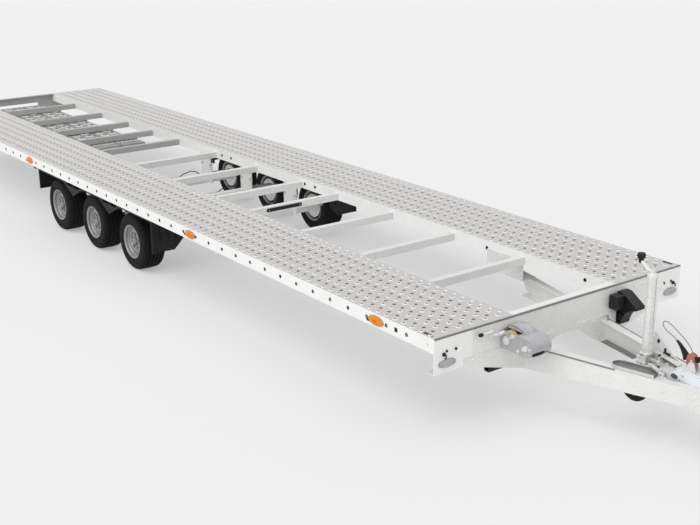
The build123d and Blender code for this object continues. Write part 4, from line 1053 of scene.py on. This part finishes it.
# ---------------------------------------------------------------- jockey wheel
# A zinc-plated outer tube in a split clamp on the bridge, with a crank on its cap. Inside it an
# inner tube winds down, and carries a pressed fork with a solid rubber wheel that swivels.
jockey_zinc = shade_steel("jockey_zinc", (0.70, 0.70, 0.69), (0.84, 0.84, 0.83), 0.45, (0.22, 0.38),
                          0.012, 0.0001)
clamp_zinc = shade_steel("clamp_zinc", (0.40, 0.40, 0.395), (0.54, 0.54, 0.535), 0.55, (0.22, 0.36),
                         0.012, 0.0001)
dress(clamp_zinc, "jockey_clamp", "jockey_fork")
dress(jockey_zinc, "jockey_leg", "jockey_tube")
jockey_x, stop_rod = 4.053, (4.0712, 0.0250)
cap_band = [(0.0242, 0.0), (0.0268, 0.001), (0.0268, 0.022), (0.0250, 0.026), (0.0242, 0.026)]
clamp_collar = [(0.0245, 0.0), (0.0330, 0.0), (0.0330, 0.004), (0.0245, 0.005)]
foot_band = [(0.0242, 0.0), (0.0262, 0.001), (0.0262, 0.010), (0.0242, 0.011)]
work = Work()
work.turned(cap_band, (jockey_x, 0, 0.914), (0, 0, 1), 36)
work.turned(foot_band, (jockey_x, 0, 0.602), (0, 0, 1), 36)
work.pin("z", stop_rod, 0.583, 0.920, 0.0068, 14)
work.pin("z", stop_rod, 0.574, 0.583, 0.0092, 6)
work.pin("z", stop_rod, 0.920, 0.926, 0.0092, 6)
work.finish("jockey_tube_fittings", jockey_zinc, slot="zinc", crisp=40)

# The crank is a bent flat bar with a knob of black plastic.
knob_x = 3.971
knob = [(0.0, 0.0), (0.0120, 0.0), (0.0135, 0.008), (0.0145, 0.022), (0.0215, 0.030), (0.0240, 0.038),
        (0.0238, 0.050), (0.0200, 0.0560), (0.0, 0.0580)]
arm_spine = [(x, z, 0.0108, 0.0078) for x, z in (
    (4.056, 0.9500), (4.040, 0.9500), (4.020, 0.9560), (3.996, 0.9760), (3.982, 0.9880), (knob_x, 0.9930))]
work = Work()
work.pin("z", (jockey_x, 0), 0.9405, 0.9590, 0.0118, 24, 0.0112)
work.loft(flat_bar(arm_spine, eased_square(0.8, 0.6)))
work.pin("z", (knob_x, 0), 0.978, 1.004, 0.0062, 14)
work.tint = 1
work.turned(knob, (knob_x, 0, 0.9808), (0, 0, 1), 28)
crank = work.finish("jockey_crank_arm", [jockey_zinc, black_moulding], slot="zinc", crisp=40)
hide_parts("jockey_crank")

# The clamp has a collar on top, a screw with a toggle at its front, and a split on one side.
work = Work()
for way in (-1, 1):
    work.block(4.021, 4.085, way * 0.0380, way * 0.0430, 0.4215, 0.4640)
    for z in (0.432, 0.454):
        work.bolt((4.034, way * 0.0430, z), (0, way, 0), 0.0072, 0.005)
work.turned(clamp_collar, (jockey_x, 0, 0.4700), (0, 0, 1), 36)
work.pin("x", (0, 0.4425), 4.142, 4.150, 0.0135, 6)
work.pin("z", (4.146, 0), 0.4185, 0.4805, 0.0046, 14)
work.tint = 1
for z in (0.4150, 0.4820):
    work.pin("z", (4.146, 0), z, z + 0.010, 0.0080, 16, 0.0066)
work.block(4.049, 4.057, -0.0408, -0.0384, 0.4155, 0.4698)
work.finish("clamp_fittings", [jockey_zinc, black_moulding], slot="zinc", edge=0.0006, rounds=1)

# Solid rubber on a grey nylon centre with five ribs on each side.
jockey_half, jockey_axle = 0.025, Vector((3.998, 0, 0.250))
tread_half = [(radius, jockey_half - inset) for radius, inset in (
    (0.0062, 0.001), (0.0180, 0.001), (0.0190, 0.004), (0.0200, 0.010), (0.0560, 0.010), (0.0580, 0.007),
    (0.0600, 0.002), (0.0640, 0.0005), (0.0780, 0.002), (0.0850, 0.007), (0.0885, 0.013), (0.0898, 0.020))]
nylon_disc = [(radius, jockey_half - inset) for radius, inset in (
    (0.0062, 0.0095), (0.0558, 0.0095), (0.0558, 0.0080), (0.0180, 0.0060), (0.0062, 0.0060))]
grey_nylon = shade_plastic("grey_nylon", (0.10, 0.10, 0.10), (0.15, 0.15, 0.15), (0.45, 0.6), 0.002, 0.0001)
work = Work()
work.turned(mirrored(tread_half), jockey_axle, (0, 1, 0), 64)
work.tint = 1
for way in (-1, 1):
    work.turned(nylon_disc, jockey_axle, (0, way, 0), 48)
    inner_end = jockey_axle + Vector((0, way * (jockey_half - 0.0090), 0))
    deep = Vector((0, way * 0.0050, 0))
    for c, s in circle(5):
        along, across = Vector((c, 0, s)), Vector((-s, 0, c)) * 0.003
        work.loft([[inner_end + along * r + step for step in (-across, across, across + deep, deep - across)]
                   for r in (0.018, 0.055)])
rubber = work.finish("jockey_tyre", [black_rubber, grey_nylon], "jockey_wheel", "rubber")
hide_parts("jockey_wheel")
work = Work()
for way in (-1, 1):
    work.bolt((jockey_axle.x, way * 0.0360, jockey_axle.z), (0, way, 0), 0.0098, 0.0065)
work.finish("jockey_axle_nuts", bolt_zinc, "jockey_fork", "zinc")


# ---------------------------------------------------------------- winch
# A zinc-plated steel strap winch bolted to the front beam beside the right leg. Its drum shaft
# carries a toothed wheel outside the near cheek, driven by the crank's pinion, and a narrow
# roll of webbing. The crank's arm and boss are bright, its grip is dark.
winch_zinc = shade_steel("winch_zinc", (0.40, 0.395, 0.41), (0.52, 0.515, 0.53), 0.45, (0.28, 0.42),
                         0.010, 0.0001)
dress(winch_zinc, "winch_frame")


def toothed(work, centre, radius, count, y0, y1):
    """A flat gear: straight teeth round a disc."""
    outline = []
    for n in range(count):
        for share, size in ((0.0, radius * 0.90), (0.22, radius), (0.46, radius), (0.68, radius * 0.90)):
            a = 2 * math.pi * (n + share) / count
            outline.append((centre[0] + size * math.cos(a), centre[1] + size * math.sin(a)))
    work.plate(outline, "y", y0, y1)


drum_place, pinion_place = (3.509, 0.505), (3.483, 0.547)
drum_centre = (3.509, -0.520, 0.505)
cheek_bolts = ((3.558, 0.543, 0.0085), (3.645, 0.496, 0.0110), (3.600, 0.470, 0.0070), (3.690, 0.505, 0.0060))
pawl = [(3.548, 0.552), (3.556, 0.548), (3.560, 0.541), (3.551, 0.533), (3.530, 0.522), (3.527, 0.526),
        (3.542, 0.541)]
strap_roll = [(0.0108, -0.0200), (0.0515, -0.0200), (0.0520, -0.0194), (0.0520, 0.0194), (0.0515, 0.0200),
              (0.0108, 0.0200)]
work = Work()
toothed(work, drum_place, 0.0270, 22, -0.5515, -0.5565)
toothed(work, pinion_place, 0.0135, 9, -0.5510, -0.5620)
work.bolt((3.509, -0.5565, 0.505), (0, -1, 0), 0.0110, 0.007)
work.pin("y", drum_place, -0.5450, -0.4050, 0.0105, 20)
for x, z, size in cheek_bolts:
    work.bolt((x, -0.550, z), (0, -1, 0), size, 0.0055)
work.pin("y", (3.659, 0.505), -0.5500, -0.5560, 0.0165, 24)
for z in (0.467, 0.540):
    work.bolt((3.4625, -0.440, z), (1, 0, 0), 0.0080, 0.005)
work.plate(pawl, "y", -0.5515, -0.5560)
work.tint = 1
work.turned(strap_roll, drum_centre, (0, 1, 0), 48)
for n in range(7):                      # edges of the turns of webbing
    size = 0.0165 + 0.0052 * n
    turn = [(size, 0.0198), (size + 0.0034, 0.0198), (size + 0.0028, 0.0208), (size + 0.0006, 0.0208)]
    for way in (-1, 1):
        work.turned(turn, drum_centre, (0, way, 0), 40)
webbing = shade_plastic("webbing", (0.52, 0.42, 0.16), (0.66, 0.56, 0.26), (0.70, 0.85), 0.0012, 0.0006, 210)
drum = work.finish("winch_drum_strap", [bright_zinc, webbing], slot="strap")
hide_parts("winch_drum")

# The crank: a round boss of three rings, a forged arm, and a handle with a dark end.
handle_seat = (3.483, -0.6525, 0.573)
handle_end = [(0.0, 0.062), (0.0100, 0.062), (0.0112, 0.066), (0.0112, 0.082), (0.0090, 0.0865),
              (0.0, 0.0870)]
handle_shank = [(0.0, 0.0), (0.0075, 0.0), (0.0085, 0.004), (0.0090, 0.030), (0.0085, 0.064), (0.0, 0.064)]
forged_arm = ((0.0070, 0.5345), (0.0125, 0.5390), (0.0130, 0.5560), (0.0105, 0.5680), (0.0100, 0.5800),
              (0.0060, 0.5855))          # half width, height
work = Work()
work.pin("y", pinion_place, -0.5505, -0.6500, 0.0090, 20)
for y, sides in ((-0.570, 20), (-0.596, 6), (-0.622, 20)):
    work.pin("y", pinion_place, y, y - 0.010, 0.0128, sides)
work.loft([[(3.483 + a * half, -0.6470 + b * 0.0035, z) for a, b in ((-1, -1), (1, -1), (1, 1), (-1, 1))]
           for half, z in forged_arm])
work.pin("y", (3.483, 0.573), -0.6440, -0.6540, 0.0080, 6)
for tint, profile in ((1, handle_end), (0, handle_shank)):
    work.tint = tint
    work.turned(profile, handle_seat, (0, -1, 0), 24)
crank = work.finish("winch_crank_arm", [bright_zinc, black_moulding], slot="zinc", crisp=40)
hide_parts("winch_crank")

# A pressed hood is screwed over the frame beside the drum.
hood_top = [(3.4620, 0.5602), (3.4640, 0.5700), (3.4760, 0.5790), (3.5000, 0.5835), (3.5300, 0.5835),
            (3.5600, 0.5790), (3.5860, 0.5700), (3.6100, 0.5602)]
hood_under = [(3.6070, 0.5602), (3.5840, 0.5680), (3.5590, 0.5762), (3.5300, 0.5808), (3.5000, 0.5808),
              (3.4770, 0.5764), (3.4670, 0.5682), (3.4655, 0.5602)]
work = Work()
work.plate(hood_top + hood_under, "y", -0.4990, -0.4050)
work.plate(hood_top, "y", -0.4990, -0.4965)
work.plate(hood_top, "y", -0.4075, -0.4050)
for y in (-0.480, -0.424):
    work.bolt((3.597, y, 0.5655), (0.35, 0, 0.93), 0.0055, 0.004)
hood_grey = shade_plastic("hood_grey", (0.40, 0.38, 0.42), (0.50, 0.48, 0.52), (0.3, 0.42), 0.002, 0.0001)
work.finish("winch_hood", hood_grey, slot="zinc", crisp=50)
work = Work()
work.pin("y", (3.7060, 0.4800), -0.5420, -0.4550, 0.0085, 20)
work.block(3.698, 3.7085, -0.540, -0.457, 0.4660, 0.4720)
work.finish("strap_roller", black_moulding, slot="black_plastic", edge=0.0005, rounds=1)


# ---------------------------------------------------------------- wheel chocks
# Two black moulded wedges, hollow, with a curved face for the tyre, a middle web and cross
# ribs. One is clipped to each side of the front beam by its flat base.
chock_black = shade_plastic("chock_black", (0.008, 0.008, 0.0085), (0.017, 0.017, 0.0175), (0.38, 0.52),
                            0.0012, 0.0001, shine=0.25)
for side, base_x, low, facing, y0, y1, clip_from, clip_to in (
        ("front", 3.463, 0.364, 1, 0.4400, 0.5245, 0.3655, 0.4385),
        ("rear", 3.393, 0.272, -1, -0.5700, -0.4505, -0.4490, -0.4405)):
    high, middle = low + 0.210, (y0 + y1) / 2
    guides = ((0.1495, high - 0.092), (0.062, high - 0.098), (0.036, low + 0.0005))
    start, pull_to, end = (Vector(place) for place in guides)
    curve = [start * (1 - t) ** 2 + pull_to * (2 * t * (1 - t)) + end * t * t
             for t in (n / 12 for n in range(13))]
    back = ((0.0005, low + 0.0005), (0.0005, high - 0.0005), (0.0400, high - 0.0005), (0.1480, high - 0.070))
    outline = [Vector(place) for place in back] + curve
    centre = Vector((0.040, high - 0.075))
    inner = [p + (centre - p).normalized() * 0.0085 for p in outline]
    work = Work()
    work.loft([[(base_x + facing * p.x, y, p.y) for p in edge] for edge, y in
               ((outline, y0), (outline, y1), (inner, y1), (inner, y0))], closed=True)
    work.plate([(base_x + facing * p.x, p.y) for p in inner], "y", middle - 0.030, middle + 0.030)
    for p in curve[2:9:2]:
        work.block(base_x + facing * 0.004, base_x + facing * (p.x - 0.003), y0 + 0.003, y1 - 0.003,
                   p.y - 0.0025, p.y + 0.0025)
    for p in curve[1:12:2]:             # cleats on the curved face
        work.pin("y", (base_x + facing * p.x, p.y), y0 + 0.008, y1 - 0.008, 0.0026, 10)
    work.block(base_x + facing * 0.0005, base_x + facing * 0.060, clip_from, clip_to,
               high - 0.095, high - 0.008)
    chock = work.finish(f"chock_{side}", chock_black, slot="black_plastic", edge=0.0008, rounds=1)
    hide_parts("wheel_chocks")


# ---------------------------------------------------------------- lamps
# Amber side markers under pointed oval lenses with deep amber rims, each with a black block
# beside it as its painted shadow on the rail, oval grey position lamps on the front corners, and
# rear lamps whose black boxes hold a red, an amber and a clear lens.
amber_lens = shade_plastic("amber_lens", (0.64, 0.19, 0.008), (0.78, 0.27, 0.016), (0.22, 0.32),
                           0.002, 0.0002, 60, shine=0.25)
deep_amber = shade_plastic("deep_amber", (0.30, 0.05, 0.012), (0.42, 0.08, 0.02), (0.2, 0.3),
                           0.002, 0.0003, 60)
red_lens = shade_plastic("red_lens", (0.42, 0.012, 0.012), (0.58, 0.022, 0.022), (0.10, 0.2),
                         0.002, 0.0003, 60)
clear_lens = shade_plastic("clear_lens", (0.30, 0.305, 0.31), (0.44, 0.445, 0.45), (0.08, 0.16),
                           0.002, 0.0003, 70)


def lens_ring(long, high, steps, point):
    """Outline of a lens: an oval whose ends are drawn out to points."""
    return [(long * c, high * math.copysign(abs(s) ** point, s)) for c, s in circle(steps)]


# Each layer of a lamp: its finish, its share of the lens's size, and its rings as
# (share of that size, height above the rail or place along the trailer).
marker_layers = ((2, 1.04, ((1.0, 0.0), (1.0, 0.0028), (0.97, 0.0036))),
                 (0, 1.0, ((1.0, 0.0034), (0.985, 0.0060), (0.90, 0.0090), (0.72, 0.0108), (0.40, 0.0117),
                           (0.10, 0.0119))),
                 (2, 0.20, ((1.0, 0.0100), (0.97, 0.01185), (0.6, 0.01195))))
work = Work()
for x in (2.946, 0.773, -2.198):
    for way in (-1, 1):
        for tint, size, layers in marker_layers:
            work.tint = tint
            ring = lens_ring(0.0695 * size, 0.0285 * size, 32, 1.15)
            work.loft([[(x + a * s, way * (rail_face_y + out), hole_z + b * s) for a, b in ring]
                       for s, out in layers])
        # A black block beside each lens: the lamp's painted shadow on the rail.
        work.tint = 1
        work.block(x - 0.086, x - 0.056, way * rail_face_y, way * 1.0535, 0.552, 0.566)
markers = work.finish("side_marker_lamps", [amber_lens, black_moulding, deep_amber],
                      slot="amber_lens", crisp=40)
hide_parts("side_markers")

position_layers = ((1, 1.0, ((1.0, 3.4600), (1.0, 3.4640), (0.985, 3.4660))),
                   (0, 0.94, ((1.0, 3.4655), (1.0, 3.4680), (0.96, 3.4705), (0.80, 3.4725), (0.45, 3.4736),
                              (0.1, 3.4738))),
                   (2, 0.30, ((1.0, 3.4720), (0.9, 3.47375))))
work = Work()
for way in (-1, 1):
    for tint, size, layers in position_layers:
        work.tint = tint
        ring = lens_ring(0.0630 * size, 0.0245 * size, 36, 0.82)
        work.loft([[(x, way * 0.957 + a * s, 0.459 + b * s) for a, b in ring] for s, x in layers])
grey_base = shade_plastic("grey_base", (0.22, 0.22, 0.225), (0.32, 0.32, 0.325), (0.4, 0.55), 0.002, 0.0001)
lamps = work.finish("front_position_lamps", [clear_lens, grey_base, grey_base], slot="clear_lens", crisp=40)
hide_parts("front_markers")


def panel(way, y0, y1, z0, z1, radius, layers):
    """Rings of a lens panel with round corners, across the rear; layers are (x, inset)."""
    rings, steps = [], 5
    for x, inset in layers:
        left, right = y0 + inset + radius, y1 - inset - radius
        low, high = z0 + inset + radius, z1 - inset - radius
        ring = []
        for y, z, start in ((right, high, 0), (left, high, 90), (left, low, 180), (right, low, 270)):
            for n in range(steps + 1):
                a = math.radians(start + 90 * n / steps)
                ring.append((x, way * (y + radius * math.cos(a)), z + radius * math.sin(a)))
        rings.append(ring)
    return rings


lens_panels = ((1, 0.888, 0.972, 0.484, 0.588), (2, 0.800, 0.882, 0.539, 0.588),
               (1, 0.800, 0.882, 0.484, 0.533), (3, 0.748, 0.794, 0.484, 0.588))
work = Work()
for way in (-1, 1):
    work.tint = 0
    work.loft(panel(way, 0.7405, 0.9795, 0.4765, 0.5955, 0.014,
                    ((-5.1912, 0.0), (-5.2040, 0.0), (-5.2070, 0.003))))
    for tint, y0, y1, z0, z1 in lens_panels:
        work.tint = tint
        work.loft(panel(way, y0, y1, z0, z1, 0.009, ((-5.2060, 0.0), (-5.2105, 0.0005), (-5.2128, 0.004))))
    work.tint = 4
    for y in (0.885, 0.797):
        work.pin("x", (way * y, 0.536), -5.2065, -5.2095, 0.0026, 12)
    work.tint = 0
    work.tube([(-5.1750, way * 0.860, 0.500), (-5.1700, way * 0.860, 0.492), (-5.1650, way * 0.850, 0.480),
               (-5.1600, way * 0.800, 0.4740), (-5.1550, way * 0.700, 0.4735)], 0.004, 8)
lamps = work.finish("rear_lamp_units", [black_moulding, red_lens, amber_lens, clear_lens, bolt_zinc],
                    slot="red_lens", crisp=40)
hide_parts("rear_lamps")

# Bolts and round red reflectors on the rear beam.
reflector = [(0.0, 0.0), (0.0300, 0.0), (0.0305, 0.002), (0.0290, 0.0045), (0.0, 0.0050)]
work = Work()
for y in (-0.70, -0.55, 0.55, 0.70, -0.33, 0.33):
    work.bolt((-5.191, y, 0.500), (-1, 0, 0), 0.0090, 0.006)
for y in (-1.02, 1.02):
    for z in (0.490, 0.590):
        work.bolt((-5.191, y, z), (-1, 0, 0), 0.0075, 0.005)
work.tint = 1
for way in (-1, 1):
    for y, z in ((0.62, 0.500), (0.43, 0.545)):
        work.turned(reflector, (-5.191, way * y, z), (-1, 0, 0), 32)
work.finish("rear_beam_fittings", [bolt_zinc, red_lens], slot="zinc")


# ---------------------------------------------------------------- studio floor
# A plain pale floor that runs out past the view on every side. Part of what the camera sees of
# it is its own pale colour, and the rest is lit, so it keeps a soft shadow.
def seen_at_once(nodes, wires):
    """1 for what the camera sees directly or in something polished, and 0 for all other light."""
    rays, seen = nodes.new("ShaderNodeLightPath"), nodes.new("ShaderNodeMath")
    seen.operation = "MAXIMUM"
    wires.new(rays.outputs["Is Camera Ray"], seen.inputs[0])
    wires.new(rays.outputs["Is Glossy Ray"], seen.inputs[1])
    return seen.outputs[0]


floor_half, floor_z, own_share = 60.0, -0.001, 0.40
floor_mesh = bpy.data.meshes.new("studio_floor")
floor_corners = [(floor_half * a, floor_half * b, floor_z) for a, b in ((-1, -1), (1, -1), (1, 1), (-1, 1))]
floor_mesh.from_pydata(floor_corners, [], [(0, 1, 2, 3)])
studio_floor = stand("studio_floor", floor_mesh)
floor_paint = bpy.data.materials.new("floor_paint")
floor_paint.use_nodes = True
nodes, wires = floor_paint.node_tree.nodes, floor_paint.node_tree.links
floor_shader = nodes["Principled BSDF"]
floor_shader.inputs["Base Color"].default_value = (0.85, 0.85, 0.85, 1)
floor_shader.inputs["Roughness"].default_value = 0.9
floor_shader.inputs["Specular IOR Level"].default_value = 0.1
pale = nodes.new("ShaderNodeEmission")
pale.inputs["Color"].default_value = (0.83, 0.83, 0.83, 1)
part = nodes.new("ShaderNodeMath")
part.operation = "MULTIPLY"
part.inputs[1].default_value = own_share
both = nodes.new("ShaderNodeMixShader")
wires.new(seen_at_once(nodes, wires), part.inputs[0])
wires.new(part.outputs[0], both.inputs["Fac"])
wires.new(floor_shader.outputs[0], both.inputs[1])
wires.new(pale.outputs[0], both.inputs[2])
wires.new(both.outputs[0], nodes["Material Output"].inputs["Surface"])
floor_mesh.materials.append(floor_paint)
studio_floor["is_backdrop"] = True


# ---------------------------------------------------------------- lamps of the studio
# An even pale room, which polished metal sees a little brighter, and one very broad lamp above
# the right side.
room = bpy.data.worlds.new("room")
room.use_nodes = True
nodes, wires = room.node_tree.nodes, room.node_tree.links
air = nodes["Background"]
air.inputs["Color"].default_value = (1, 1, 1, 1)
level = nodes.new("ShaderNodeMapRange")
level.inputs["To Min"].default_value = 0.72
level.inputs["To Max"].default_value = 0.95
wires.new(seen_at_once(nodes, wires), level.inputs["Value"])
wires.new(level.outputs["Result"], air.inputs["Strength"])
bpy.context.scene.world = room
lamp = bpy.data.lights.new("key_lamp", "SUN")
lamp.energy = 1.45
lamp.angle = math.radians(60)
key_lamp = stand("key_lamp", lamp)
key_lamp.rotation_euler = Vector((-0.18, 0.62, -0.76)).to_track_quat("-Z", "Y").to_euler()


# ---------------------------------------------------------------- camera
# A long lens well back on the right, looking down along the deck from the drawbar end.
camera_data = bpy.data.cameras.new("camera")
camera_data.lens = 59.16
camera_data.sensor_width = 36
camera_data.clip_end = 200
pan, tilt, roll = math.radians(143.20), math.radians(18.28), math.radians(-0.31)
ahead = Vector((math.cos(pan) * math.cos(tilt), math.sin(pan) * math.cos(tilt), -math.sin(tilt)))
right = ahead.cross(Vector((0, 0, 1))).normalized()
up = right.cross(ahead)
right, up = right * math.cos(roll) + up * math.sin(roll), up * math.cos(roll) - right * math.sin(roll)
camera = stand("camera", camera_data)
camera.matrix_world = (Matrix.Translation((7.8255, -4.8857, 2.9767))
                       @ Matrix((right, up, -ahead)).transposed().to_4x4())
bpy.context.scene.camera = camera
bpy.context.scene.view_settings.view_transform = "Standard"


# ---------------------------------------------------------------- size
# The box round everything that renders, apart from the floor.
low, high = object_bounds()
